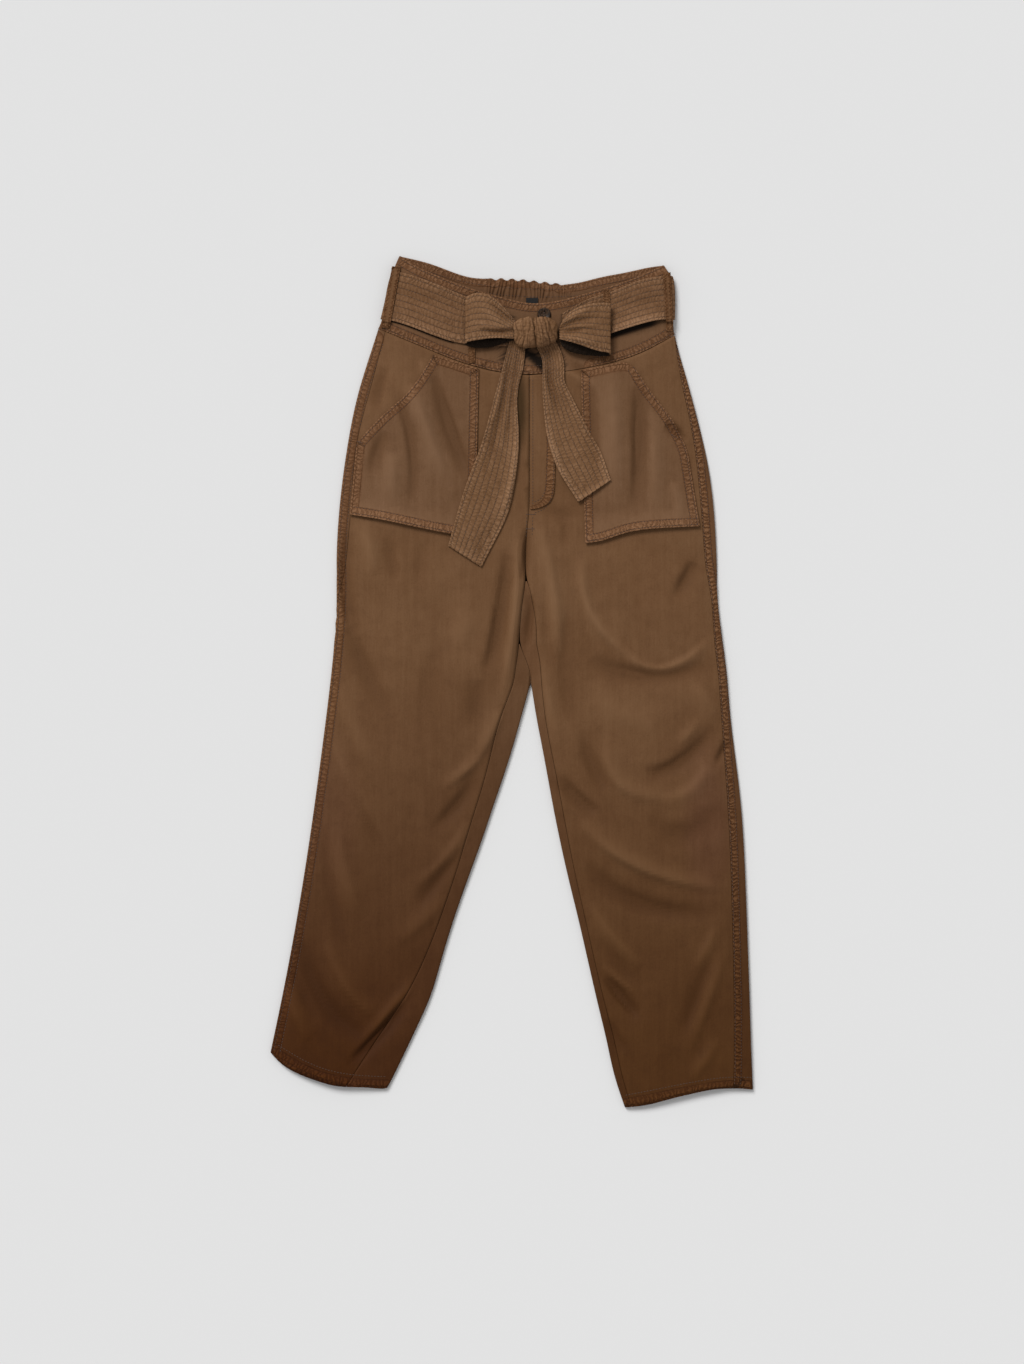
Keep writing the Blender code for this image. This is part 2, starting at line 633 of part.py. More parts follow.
def back_waistband():
    """The band with the elastic: its inside, which shows, is gathered over a plain outside."""
    def place(column, share, depth):
        def height_of(x):
            return mix(read(BACK_SEAM, x) + WAIST_HALF_GAP, read(BACK_TOP, x), share)

        x, y, z = girth_point(column, height_of, -depth, True)
        height, reach = gather(x, share) if column.part == "flat" else (0.0, 0.0)
        return x, y + reach, z + (height if depth else 0.0)

    def share_at(x):
        left, right = left_edge(470) + FOLD_RADIUS, right_edge(470) - FOLD_RADIUS
        return (x - left) / (right - left)

    flat = spread(0.0, (6, share_at(GATHER_FROM)), (2 * GATHERS, share_at(GATHER_TO)), (7, 1.0))
    return cloth("waistband_back", girth_columns(flat), BAND_ROWS, place, BAND_WALL, BACK_TWILL)


def belt_height(x, row):
    """Y on the belt behind the waistband: row 0 is its lower edge and BELT_ROWS its upper one.

    The rows between are the waistband's own, so that the two turn round the edge alike.
    """
    share = (read(BELT_BACK_FROM, x), *BAND_ROWS[3:7], read(BELT_BACK_TO, x))[row]
    return mix(read(BACK_SEAM, x) + WAIST_HALF_GAP, read(BACK_TOP, x), share)


def belt_back():
    """The belt's run round the back, under the waistband, from edge to edge."""
    def place(column, row, depth):
        return girth_point(column, lambda x: belt_height(x, row), SEAM_GAP + BELT_WALL - depth, True)

    columns = girth_columns(spread(0.0, (8, 1.0)))
    return cloth("belt_back", columns, range(BELT_ROWS + 1), place, BELT_WALL, BELT_TWILL)


def belt_run(name, side, top_rows, bottom_rows, knot_x, droop):
    """The belt's run over the front, from the edge of the garment to the knot."""
    columns = [Girth(side, turn) for turn in EDGE_TURNS]
    columns += [Girth("run", share) for share in spread(0.0, (9, 1.0))]

    def place(column, row, depth):
        out = SEAM_GAP + BELT_WALL - depth
        if column.part != "run":
            return girth_point(column, lambda x: belt_height(x, row), out, False)
        share = row / BELT_ROWS
        y, edge_x = 450.0, 0.0
        for _ in range(5):
            edge_x = left_edge(y) + FOLD_RADIUS if side == "left" else right_edge(y) - FOLD_RADIUS
            x = mix(edge_x, knot_x, column.value)
            round_edge = smooth(1 - column.value / 0.15)
            y = mix(mix(read(bottom_rows, x), read(top_rows, x), share), belt_height(x, row), round_edge)
        away = smooth(column.value / 0.2)
        return x, y, cloth_top(x, y) + out + 0.3 * away + droop * away * (1 - share) ** 2

    return cloth(name, columns, range(BELT_ROWS + 1), place, BELT_WALL, BELT_TWILL)


def belt_loop(loop, pile):
    """A narrow strip sewn above and below the belt, which it holds."""
    def place(across, along, depth):
        x = mix(loop.bottom[0], loop.top[0], along) + across * loop.width
        y = mix(loop.bottom[1], loop.top[1], along)
        return x, y, pile.height(x, y, 6.0) + SEAM_GAP + BELT_LOOP_WALL - depth

    rows = spread(0.0, (16, 1.0))
    return cloth(loop.name, spread(-0.5, (2, 0.5)), rows, place, BELT_LOOP_WALL, PANEL_TWILL)


def back_belt_loop():
    x_middle, width = 20.6, 11.0
    seam, top = read(BACK_SEAM, x_middle), read(BACK_TOP, x_middle)
    sewn = BAND_LIFT - SEAM_GAP - BELT_LOOP_WALL

    def place(across, along, depth):
        level = 0.0 if 0.15 < along < 0.86 else sewn
        return x_middle + across * width, mix(seam, top, along), level + depth

    rows = (0.125, 0.14, 0.16, 0.35, 0.65, 0.845, 0.865, 0.88)
    return cloth("belt_loop_back", spread(-0.5, (2, 0.5)), rows, place, BELT_LOOP_WALL, PANEL_TWILL)


# ---------------------------------------------------------------- pockets, fly, label, button

def patch_pocket(pocket):
    """A patch pocket whose lower edge stands a little away from the leg."""
    lifted = 0.16

    def place(across, along, depth):
        bottom_x = mix(pocket.side_x[0], pocket.inner_x[0], across)
        top_x = mix(pocket.side_x[1], pocket.inner_x[1], across)
        low = read(pocket.bottom, bottom_x)
        high = min(read(pocket.opening, top_x), read(FRONT_SEAM, top_x) - 1.5)
        x, y = mix(bottom_x, top_x, along), mix(low, high, along)
        stand = POCKET_STAND * smooth(1 - along / lifted)
        return x, y, cloth_top(x, y) + 2 * SEAM_GAP + POCKET_WALL + stand - depth

    rows = spread(0.0, (2, lifted), (5, 1.0))
    return cloth(pocket.name, spread(0.0, (8, 1.0)), rows, place, POCKET_WALL, POCKET_TWILL)


def fly():
    """The placket, from the centre front to its J-shaped stitch line."""
    def place(across, along, depth):
        y = mix(203, 358, along**1.5)
        x = mix(21.6, read(FLY_EDGE, y), across)
        return x, y, cloth_top(x, y) + 2 * SEAM_GAP + FLY_WALL - depth

    return cloth("fly", spread(0.0, (2, 1.0)), spread(0.0, (9, 1.0)), place, FLY_WALL, PANEL_TWILL)


def label(z):
    """A small bare tab, lying on the inside of the back waistband."""
    bm = bmesh.new()
    bmesh.ops.create_cube(bm, size=MM)
    bmesh.ops.scale(bm, verts=bm.verts, vec=LABEL_SIZE)
    piece = finish("label", bm, LABEL_SATIN)
    piece.location = (LABEL_AT[0] * MM, LABEL_AT[1] * MM, (z + LABEL_SIZE[2] / 2) * MM)
    return piece


def button(z):
    """A turned disc with a raised rim and four holes."""
    half = BUTTON_THICKNESS / 2
    profile = (
        (0.0, half - 0.9), (5.2, half - 0.9), (6.4, half), (7.4, half), (BUTTON_RADIUS, 0.3),
        (7.4, -half), (0.0, -half),
    )
    bm = bmesh.new()
    verts = [bm.verts.new(Vector((radius, 0, height)) * MM) for radius, height in profile]
    edges = [bm.edges.new(pair) for pair in zip(verts, verts[1:])]
    bmesh.ops.spin(
        bm, geom=verts + edges, cent=(0, 0, 0), axis=(0, 0, 1), angle=2 * math.pi, steps=20, use_merge=True
    )
    bmesh.ops.remove_doubles(bm, verts=bm.verts, dist=0.001 * MM)
    bmesh.ops.recalc_face_normals(bm, faces=bm.faces)
    piece = finish("button", bm, BUTTON_HORN)
    piece.location = (BUTTON_AT[0] * MM, BUTTON_AT[1] * MM, (z + half) * MM)
    reach = BUTTON_HOLE_SPACING / math.sqrt(2)
    for k in range(4):
        turn = math.pi / 4 + k * math.pi / 2
        hole = bmesh.new()
        bmesh.ops.create_cone(
            hole, cap_ends=True, segments=8, radius1=BUTTON_HOLE_RADIUS * MM,
            radius2=BUTTON_HOLE_RADIUS * MM, depth=3 * BUTTON_THICKNESS * MM,
        )
        drill = finish(f"button_drill_{k}", hole, BUTTON_HORN)
        drill.location = piece.location + Vector((reach * math.cos(turn), reach * math.sin(turn), 0)) * MM
        drill.hide_render = True
        drill.display_type = "WIRE"
        cut = piece.modifiers.new(f"Hole {k}", "BOOLEAN")
        cut.operation = "DIFFERENCE"
        cut.object = drill
    return piece


# ---------------------------------------------------------------- the tied bow

def knot(z):
    """A squashed, rounded block of cloth with pleats running over it."""
    bm = bmesh.new()
    bmesh.ops.create_uvsphere(bm, u_segments=20, v_segments=12, radius=1.0)
    for vert in bm.verts:
        turn = math.atan2(vert.co.y, vert.co.x)
        pleat = 1 + KNOT_PLEAT_DEPTH * math.cos(KNOT_PLEATS * turn) * abs(vert.co.z)
        boxy = (abs(math.cos(turn)) ** 3 + abs(math.sin(turn)) ** 3) ** (-1 / 3)
        spot = Vector((vert.co.x * boxy, vert.co.y * boxy, max(vert.co.z, -0.92)))
        vert.co = Vector([spot[k] * KNOT_HALF_SIZE[k] * (pleat if k == 2 else 1) for k in range(3)]) * MM
    lowest = min(vert.co.z for vert in bm.verts)
    piece = finish("knot", bm, BELT_TWILL)
    piece.location = (KNOT_AT[0] * MM, KNOT_AT[1] * MM, z * MM - lowest)
    return piece


def section_value(rows, share, name):
    """A column's value, that share of the way down the table."""
    return read([(k / (len(rows) - 1), getattr(row, name)) for k, row in enumerate(rows)], share)


def tail(name, rows, pile):
    """A free end of the belt: comes out from under the knot and lies on the front."""
    def place(across, along, depth):
        x = mix(section_value(rows, along, "left_x"), section_value(rows, along, "right_x"), across)
        y = mix(section_value(rows, along, "left_y"), section_value(rows, along, "right_y"), across)
        lift = 2.4 * (1 - smooth(along / 0.16))
        return x, y, pile.height(x, y, 12.5) + SEAM_GAP + BELT_WALL + lift - depth

    return cloth(name, spread(0.0, (5, 1.0)), spread(0.0, (24, 1.0)), place, BELT_WALL, BOW_TWILL)


def bow_loop(name, rows, outwards):
    """A loop of the bow: a band out from the knot, folded back at its outer end, open along its sides."""
    fold_turns = spread(math.pi / 2, (4, -math.pi / 2))[1:-1]
    columns = (
        [("upper", share) for share in spread(0.0, (7, 1.0))]
        + [("fold", turn) for turn in fold_turns]
        + [("lower", share) for share in spread(1.0, (7, 0.0))]
    )

    def place(column, across, depth):
        part, value = column
        share = 1.0 if part == "fold" else value
        x, top, bottom, under, high, low = (section_value(rows, share, k) for k in BowSection._fields)
        pleats = 0.7 * math.cos(5 * math.pi * across) * smooth(1 - share / 0.6)
        high += 1.8 * math.sin(math.pi * across) * smooth((share - 0.1) / 0.4) + pleats
        upper_y, lower_y = mix(bottom, top, across), mix(under, top - 1.5, across)
        if part == "upper":
            return x, upper_y, high - depth
        if part == "lower":
            return x, lower_y, low + depth
        turned = math.sin(value)
        return (
            x + outwards * (4.2 - depth) * math.cos(value),
            mix(lower_y, upper_y, (1 + turned) / 2),
            (high + low) / 2 + ((high - low) / 2 - depth) * turned,
        )

    return cloth(name, columns, spread(0.0, (5, 1.0)), place, BELT_WALL, BOW_TWILL)


# ---------------------------------------------------------------- the garment

def build():
    """Each layer is laid on the ones made before it, from the surface up."""
    for startup_object in list(bpy.data.objects):
        bpy.data.objects.remove(startup_object, do_unlink=True)

    fronts = [front_panel(side) for side in (LEFT, RIGHT)]
    for side in (LEFT, RIGHT):
        back_panel(side)
    band = front_waistband()
    band_inside = Pile([back_waistband()])
    label(band_inside.height(*LABEL_AT, LABEL_SIZE[0] / 2) + SEAM_GAP)
    pockets = [patch_pocket(pocket) for pocket in POCKETS]
    placket = fly()

    belt_back()
    back_belt_loop()
    runs = [
        belt_run("belt_left", "left", BELT_LEFT_TOP, BELT_LEFT_BOTTOM, knot_x=1.5, droop=0.0),
        belt_run("belt_right", "right", BELT_RIGHT_TOP, BELT_RIGHT_BOTTOM, knot_x=59.0, droop=2.2),
    ]
    belted = Pile([band] + runs)
    loops = [belt_loop(loop, belted) for loop in BELT_LOOPS]

    band_outside = Pile([band])
    button(band_outside.height(*BUTTON_AT, BUTTON_RADIUS) + SEAM_GAP)
    knot(band_outside.height(*KNOT_AT, 0.6 * KNOT_HALF_SIZE[0]) + SEAM_GAP)
    below_tails = Pile(fronts + pockets + [placket, band] + loops)
    tail("tail_left", LEFT_TAIL, below_tails)
    tail("tail_right", RIGHT_TAIL, below_tails)
    bow_loop("bow_loop_left", LEFT_BOW, outwards=-1)
    bow_loop("bow_loop_right", RIGHT_BOW, outwards=1)


build()
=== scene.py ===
import math
from collections import namedtuple

import bmesh
import bpy
import numpy as np
from mathutils import Matrix, Vector, kdtree, noise
from mathutils.bvhtree import BVHTree


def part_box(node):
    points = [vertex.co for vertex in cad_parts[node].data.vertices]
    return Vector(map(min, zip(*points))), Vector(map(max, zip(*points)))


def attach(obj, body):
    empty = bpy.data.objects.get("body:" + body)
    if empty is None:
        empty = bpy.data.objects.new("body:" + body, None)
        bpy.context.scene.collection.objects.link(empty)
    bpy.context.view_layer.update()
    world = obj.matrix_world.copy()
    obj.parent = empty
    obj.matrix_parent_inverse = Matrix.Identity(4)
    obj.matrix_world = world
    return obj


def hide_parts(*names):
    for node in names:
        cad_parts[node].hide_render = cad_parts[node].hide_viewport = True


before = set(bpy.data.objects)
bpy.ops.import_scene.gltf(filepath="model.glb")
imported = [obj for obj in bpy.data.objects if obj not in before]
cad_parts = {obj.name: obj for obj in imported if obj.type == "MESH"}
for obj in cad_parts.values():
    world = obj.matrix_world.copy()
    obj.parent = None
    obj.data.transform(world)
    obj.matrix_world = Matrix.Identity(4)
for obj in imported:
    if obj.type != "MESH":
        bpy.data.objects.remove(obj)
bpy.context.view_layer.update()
MM = 0.001


# ---------------------------------------------------------------- the set
# The trousers lie on a plain pale floor, and the camera hangs straight above them, as in a studio flat-lay.
# A broad lamp at the upper left gives the folds their soft relief, and white walls all round fill the rest.
CAMERA_HEIGHT = 3.353
LENS = 75
SENSOR = 36
FLOOR_SIZE = 9.0
FLOOR_DROP = 0.2 * MM
FLOOR_GREY = (0.76, 0.76, 0.76, 1)
LAMP_FROM = Vector((-0.40, 0.62, 0.68))
LAMP_STRENGTH = 2.43
LAMP_SPREAD = 26
WALL_STRENGTH = 0.48

scene = bpy.context.scene
scene.view_settings.view_transform = "Standard"

camera = bpy.data.objects.new("camera", bpy.data.cameras.new("camera"))
camera.data.lens = LENS
camera.data.sensor_width = SENSOR
camera.data.clip_end = 50
camera.location = (0, 0, CAMERA_HEIGHT)
scene.collection.objects.link(camera)
scene.camera = camera

lamp = bpy.data.objects.new("lamp", bpy.data.lights.new("lamp", "SUN"))
lamp.data.energy = LAMP_STRENGTH
lamp.data.angle = math.radians(LAMP_SPREAD)
lamp.rotation_euler = (-LAMP_FROM).to_track_quat("-Z", "Y").to_euler()
scene.collection.objects.link(lamp)


def fill(node, values):
    """Sets inputs of a shader node by their names."""
    for name, value in values.items():
        node.inputs[name].default_value = value


walls = bpy.data.worlds.new("white_walls")
walls.use_nodes = True
fill(walls.node_tree.nodes["Background"], {"Color": (1, 1, 1, 1), "Strength": WALL_STRENGTH})
scene.world = walls


def link_mesh(shape, name):
    """Puts a finished bmesh into the scene as a smooth mesh object."""
    mesh = bpy.data.meshes.new(name)
    shape.to_mesh(mesh)
    shape.free()
    mesh.shade_smooth()
    made = bpy.data.objects.new(name, mesh)
    scene.collection.objects.link(made)
    return made


floor_shape = bmesh.new()
bmesh.ops.create_grid(
    floor_shape, x_segments=1, y_segments=1, size=FLOOR_SIZE / 2,
    matrix=Matrix.Translation((0, 0, -FLOOR_DROP)),
)
floor = link_mesh(floor_shape, "floor")
floor_paper = bpy.data.materials.new("floor_paper")
floor_paper.use_nodes = True
fill(floor_paper.node_tree.nodes["Principled BSDF"], {
    "Base Color": FLOOR_GREY, "Roughness": 0.9, "Specular IOR Level": 0.1,
})
floor.data.materials.append(floor_paper)


# ---------------------------------------------------------------- back leg panels
# The two back legs lie face down on the floor and wrap a little way round to the front at the seams.
# They are cut from soft tobacco twill, a thin cloth with a peach-skin bloom, sewn to the fronts at the sides.
MERGE = 0.02 * MM  # vertices nearer than this become one
PAIR_FLAT = 0.9  # radians between two triangles that may become a quad
PAIR_SQUARE = 3.0  # radians that such a quad may be off a square
RIM_ANGLE = math.radians(50)  # an edge sharper than this is a rim of the cut cloth
CORNER_TURN = math.radians(38)  # a rim that turns by more than this has a corner there
WALL_WIDTH = 1.9 * MM  # a face narrower than this belongs to the cut edge
RIM_SAMPLES = 8  # samples of a smooth line between two points that it is led by
SEAM_SAMPLE = 1.0 * MM
FAR_FROM_SEAM = 0.5  # stands for the distance where a piece has no seam
LINE_STEPS = 200  # samples along a ribbon
SHARE_STEPS = 97  # lines that lie side by side across it
RIBBON_ROWS = 8  # rows of stitches on a ribbon
ROW_SPACING = 6.8 * MM
ROW_DEPTH = 0.28 * MM
ROWS_FROM = (0.3 * MM, 0.9 * MM)  # from a ribbon's long side to where the rows sink in
LOOSE_FROM = (2.5 * MM, 6.5 * MM)  # the height above the floor at which cloth is free to crease
UNDER_SHARE = 0.35  # how much of a crease lifts the cloth that lies on the floor
UNDER_MOST = 1.6  # the deepest crease that counts there, in millimetres
UNDER_INSET = (12 * MM, 40 * MM)  # from a seam to where the cloth on the floor is free to lift

# A crease: its two ends with a place on its line between them, its width and its rise, all in millimetres.
Fold = namedtuple("Fold", "x0 y0 x1 y1 x2 y2 width rise")
FOLDS = [Fold(*row) for row in (
    # left hip and pocket
    (-92, 362, -73, 302, -50, 238, 8, -2.1),
    (-118, 352, -101, 300, -74, 226, 10, 1.5),
    (-140, 342, -120, 284, -118, 205, 7, -1.2),
    (-149, 296, -158, 272, -166, 242, 8, -1.3),
    (-147, 372, -154, 346, -160, 318, 8, -1.0),
    (-142, 272, -142, 240, -138, 205, 11, 1.2),
    (-108, 380, -104, 366, -98, 350, 6, 0.8),
    # left thigh
    (-178, 190, -168, 160, -161, 124, 10, 1.3),
    (-147, 172, -140, 145, -136, 116, 7, -1.0),
    (-106, 165, -108, 140, -112, 112, 7, -0.6),
    (-192, 180, -197, 110, -184, 52, 8, -1.9),
    (-196, 66, -172, 16, -146, -42, 11, -1.5),
    (-208, 8, -186, -52, -162, -96, 10, 0.8),
    (-6, 152, -16, 75, -30, 12, 8, -2.4),
    (7, 172, 2, 72, -12, -22, 7, 1.9),
    (-14, -30, -26, -64, -46, -98, 8, 1.3),
    (-58, 110, -56, 72, -60, 36, 13, 0.9),
    (-88, 60, -96, 5, -110, -46, 14, -0.6),
    (-40, 4, -42, -24, -48, -56, 12, -1.0),
    # left knee and calf
    (-38, -88, -56, -106, -84, -126, 7, 1.2),
    (-42, -110, -66, -146, -94, -174, 9, -1.7),
    (-52, -162, -72, -200, -108, -236, 8, 1.2),
    (-60, -196, -86, -232, -112, -264, 9, -1.5),
    (-80, -250, -104, -282, -140, -306, 9, 0.8),
    (-212, -70, -190, -118, -158, -172, 7, 0.8),
    (-196, -92, -176, -150, -150, -196, 7, -0.7),
    (-208, -166, -196, -224, -176, -282, 10, 1.1),
    (-222, -184, -214, -240, -198, -300, 8, -0.8),
    (-220, -302, -192, -364, -154, -394, 9, 1.5),
    (-248, -302, -222, -374, -172, -418, 11, -1.9),
    (-190, -446, -156, -414, -124, -374, 7, -2.2),
    (-176, -424, -148, -392, -116, -352, 7, 1.3),
    (-268, -354, -256, -390, -240, -424, 8, 1.3),
    (-262, -330, -246, -366, -228, -400, 6, -0.8),
    # right hip and pocket
    (113, 372, 121, 288, 119, 196, 13, 1.3),
    (146, 350, 148, 284, 144, 200, 9, -1.9),
    (166, 322, 168, 262, 168, 200, 9, 1.0),
    (96, 350, 98, 290, 103, 216, 9, -0.9),
    (180, 304, 192, 296, 205, 282, 6, -1.8),
    (191, 236, 194, 214, 199, 190, 7, 1.0),
    (72, 376, 86, 364, 102, 356, 5, -0.8),
    (60, 366, 78, 358, 92, 344, 5, 0.8),
    (84, 374, 96, 352, 104, 330, 5, 0.6),
    # fly and crotch
    (17, 182, 15, 152, 12, 118, 5, -1.8),
    (30, 192, 49, 108, 56, 26, 9, 1.5),
    (34, 30, 44, -22, 56, -80, 8, 0.9),
    (67, 84, 61, 10, 74, -50, 10, -1.0),
    (58, 196, 62, 178, 60, 158, 6, -0.8),
    (23, 104, 22, 74, 18, 38, 5, -1.3),
    (40, 120, 40, 70, 46, 20, 5, -0.7),
    (33, 206, 56, 196, 80, 196, 7, -0.7),
    # right thigh
    (84, 154, 92, 82, 142, 30, 7, 1.5),
    (134, 34, 180, 16, 232, 50, 7, 1.5),
    (92, 30, 146, 8, 234, 18, 12, -1.9),
    (214, 142, 204, 122, 192, 98, 9, -1.7),
    (90, 4, 122, -36, 176, -46, 18, 0.9),
    (216, 0, 228, -20, 238, -44, 10, 0.8),
    # right knee
    (82, -54, 94, -98, 112, -128, 9, -1.5),
    (112, -62, 126, -120, 182, -134, 9, 1.3),
    (174, -136, 208, -128, 234, -94, 9, 1.2),
    (156, -106, 198, -94, 240, -50, 9, -2.2),
    (194, -72, 208, -62, 222, -44, 7, 1.0),
    (254, -68, 248, -82, 240, -96, 5, -1.5),
    (56, -110, 80, -138, 102, -154, 8, -1.9),
    (160, -152, 200, -178, 246, -148, 14, -1.2),
    # right calf
    (78, -162, 150, -218, 252, -242, 9, 2.0),
    (86, -212, 150, -260, 246, -271, 11, -1.9),
    (92, -258, 118, -298, 156, -334, 8, 1.3),
    (104, -300, 128, -334, 160, -360, 9, -0.7),
    (242, -286, 230, -312, 216, -338, 8, 1.1),
    (252, -312, 230, -378, 206, -438, 8, 1.1),
    (236, -318, 218, -372, 200, -412, 8, -1.0),
    (110, -348, 130, -374, 150, -394, 7, -2.2),
    (106, -332, 126, -352, 148, -366, 5, 1.0),
    (114, -396, 122, -416, 136, -434, 7, -0.9),
    (242, -420, 228, -446, 210, -468, 8, 1.0),
)]
FOLD_DEPTH = 1.55  # every crease's rise is multiplied by this
FOLD_WIDTH = 1.7  # and every crease's width by this
FOLD_STEPS = 14  # points on the bent line of a crease
FLANK = 0.55  # a flank's share of the width
FLANK_LEAN = 0.16  # what one flank gains and the other loses
FOLD_ENDS = (0.015, 0.985)  # the stretch of a crease's line over which it shows
FOLD_TAPER = 0.7  # under 1, so that a crease rises fast and stays high for longer
FOLD_REACH = 3  # a crease ends this many widths from its line
DEEPEST = -2.4  # the lowest that cloth sinks, in millimetres
RIPPLES = ((60, 0.55), (26, 0.22), (13, 0.1))  # wavelength and height in millimetres


def fold_rise(fold, number, x, y):
    """One soft crease: a bent line with a steeper and a gentler flank, dying out at both ends."""
    share = np.linspace(0, 1, FOLD_STEPS)
    first, middle, last = (1 - share) * (1 - 2 * share), 4 * share * (1 - share), share * (2 * share - 1)
    line_x = fold.x0 * first + fold.x1 * middle + fold.x2 * last
    line_y = fold.y0 * first + fold.y1 * middle + fold.y2 * last
    nearest = np.full(len(x), 1e9)
    signed = np.zeros(len(x))
    place = np.zeros(len(x))
    for step in range(FOLD_STEPS - 1):
        run_x = line_x[step + 1] - line_x[step]
        run_y = line_y[step + 1] - line_y[step]
        to_x, to_y = x - line_x[step], y - line_y[step]
        along = np.clip((to_x * run_x + to_y * run_y) / (run_x ** 2 + run_y ** 2), 0, 1)
        far = np.hypot(to_x - along * run_x, to_y - along * run_y)
        closer = far < nearest
        side = np.sign(to_x * run_y - to_y * run_x)
        nearest = np.where(closer, far, nearest)
        signed = np.where(closer, side, signed)
        place = np.where(closer, (step + along) / (FOLD_STEPS - 1), place)
    lean = math.sin(1 + 1.7 * number)  # unlike for each crease
    flank = FOLD_WIDTH * fold.width * (FLANK + FLANK_LEAN * signed * lean)
    taper = np.sin(np.pi * np.clip(place, *FOLD_ENDS)) ** FOLD_TAPER
    return fold.rise * taper * np.exp(-(nearest / flank) ** 2)


def drape(x, y, own_folds=()):
    """How far the cloth rises or sinks at each place, in millimetres."""
    rise = np.zeros(len(x))
    for number, fold in enumerate((*FOLDS, *own_folds)):
        reach = FOLD_REACH * fold.width
        near = (
            (x > min(fold.x0, fold.x1, fold.x2) - reach)
            & (x < max(fold.x0, fold.x1, fold.x2) + reach)
            & (y > min(fold.y0, fold.y1, fold.y2) - reach)
            & (y < max(fold.y0, fold.y1, fold.y2) + reach)
        )
        if near.any():
            rise[near] += FOLD_DEPTH * fold_rise(fold, number, x[near], y[near])
    for wave, height in RIPPLES:
        rise += height * np.array([
            noise.noise(Vector((at_x / wave, at_y / wave, wave))) for at_x, at_y in zip(x, y)
        ])
    return np.maximum(rise, DEEPEST)


def merged(node):
    """A welded copy of a cut piece, with its triangles paired into quads."""
    shape = bmesh.new()
    shape.from_mesh(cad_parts[node].data)
    bmesh.ops.remove_doubles(shape, verts=shape.verts, dist=MERGE)
    bmesh.ops.join_triangles(
        shape, faces=shape.faces, angle_face_threshold=PAIR_FLAT, angle_shape_threshold=PAIR_SQUARE,
    )
    return shape


def is_wall(face):
    """True for a face of the thin cut edge, which is no wider than the cloth is thick."""
    return face.calc_area() / max(edge.calc_length() for edge in face.edges) < WALL_WIDTH


def sides_of(node):
    """The rims of a piece's upward faces, as smooth runs of points in metres, split at its corners."""
    shape = merged(node)
    rim = {}
    for edge in shape.edges:
        if len(edge.link_faces) != 2 or edge.calc_face_angle(0) < RIM_ANGLE:
            continue
        broad = [face for face in edge.link_faces if not is_wall(face)]
        if len(broad) != 1 or broad[0].normal.z < 0:
            continue
        for vertex in edge.verts:
            rim.setdefault(vertex, []).append(edge.other_vert(vertex))
    corners = set()
    for vertex, others in rim.items():
        if len(others) != 2:
            corners.add(vertex)
            continue
        turn = (vertex.co - others[0].co).angle(others[1].co - vertex.co, math.pi)
        if turn > CORNER_TURN:
            corners.add(vertex)
    runs, used = [], set()
    for start in sorted(corners, key=lambda vertex: vertex.index) or list(rim)[:1]:
        for after in rim[start]:
            if (start, after) in used:
                continue
            run = [start, after]
            while run[-1] not in corners and run[-1] is not start and len(rim[run[-1]]) == 2:
                onward = [other for other in rim[run[-1]] if other is not run[-2]]
                run.append(onward[0])
            used.add((run[0], run[1]))
            used.add((run[-1], run[-2]))
            runs.append(smooth_run(np.array([vertex.co for vertex in run])))
    shape.free()
    return runs


def smooth_run(points):
    """The curve that subdivision leaves along a sharp rim, through evenly shared samples."""
    before = 2 * points[:1] - points[1:2]
    after = 2 * points[-1:] - points[-2:-1]
    held = np.concatenate([before, points, after])
    pieces = []
    for number in range(1, len(held) - 2):
        for share in np.arange(RIM_SAMPLES) / RIM_SAMPLES:
            weights = (
                (1 - share) ** 3,
                3 * share ** 3 - 6 * share ** 2 + 4,
                -3 * share ** 3 + 3 * share ** 2 + 3 * share + 1,
                share ** 3,
            )
            pieces.append(sum(w * held[number - 1 + k] for k, w in enumerate(weights)) / 6)
    pieces.append(points[-1])
    return np.array(pieces)


def lengths_along(run):
    """The distance travelled at each point of a run."""
    return np.concatenate([[0], np.cumsum(np.linalg.norm(np.diff(run, axis=0), axis=1))])


def places_at(line, at):
    """The plan places at some distances along a line."""
    travelled = lengths_along(line)
    return np.stack([np.interp(at, travelled, line[:, 0]), np.interp(at, travelled, line[:, 1])], axis=1)


def plan_tree(places):
    """A tree that finds which of some plan places is the nearest."""
    tree = kdtree.KDTree(len(places))
    for number, (x, y) in enumerate(places):
        tree.insert((x, y, 0), number)
    tree.balance()
    return tree


def settle(low, high, value):
    """A soft step from 0 at low to 1 at high."""
    share = np.clip((value - low) / (high - low), 0, 1)
    return share * share * (3 - 2 * share)


def read_points(mesh):
    """The vertices of a mesh as an array, in metres."""
    flat = np.empty(3 * len(mesh.vertices), np.float32)
    mesh.vertices.foreach_get("co", flat)
    return flat.reshape(-1, 3).astype(float)


def read_normals(mesh):
    """The way that each vertex of a mesh faces."""
    return np.array([vertex.normal for vertex in mesh.vertices])


def write_points(mesh, points):
    """Moves the vertices of a mesh to new places."""
    mesh.vertices.foreach_set("co", points.astype(np.float32).ravel())
    mesh.update()


def seam_places(mesh, runs):
    """Gives each vertex its plan distance to the nearest seam, and its place along that seam."""
    seam = np.full((len(mesh.vertices), 2), FAR_FROM_SEAM)
    if not runs:
        return seam
    samples = [np.arange(0, lengths_along(run)[-1], SEAM_SAMPLE) for run in runs]
    tree = plan_tree(np.concatenate([places_at(run, at) for run, at in zip(runs, samples)]))
    along = np.concatenate(samples)
    for number, vertex in enumerate(mesh.vertices):
        _, found, far = tree.find((vertex.co.x, vertex.co.y, 0))
        seam[number] = (far, along[found])
    return seam


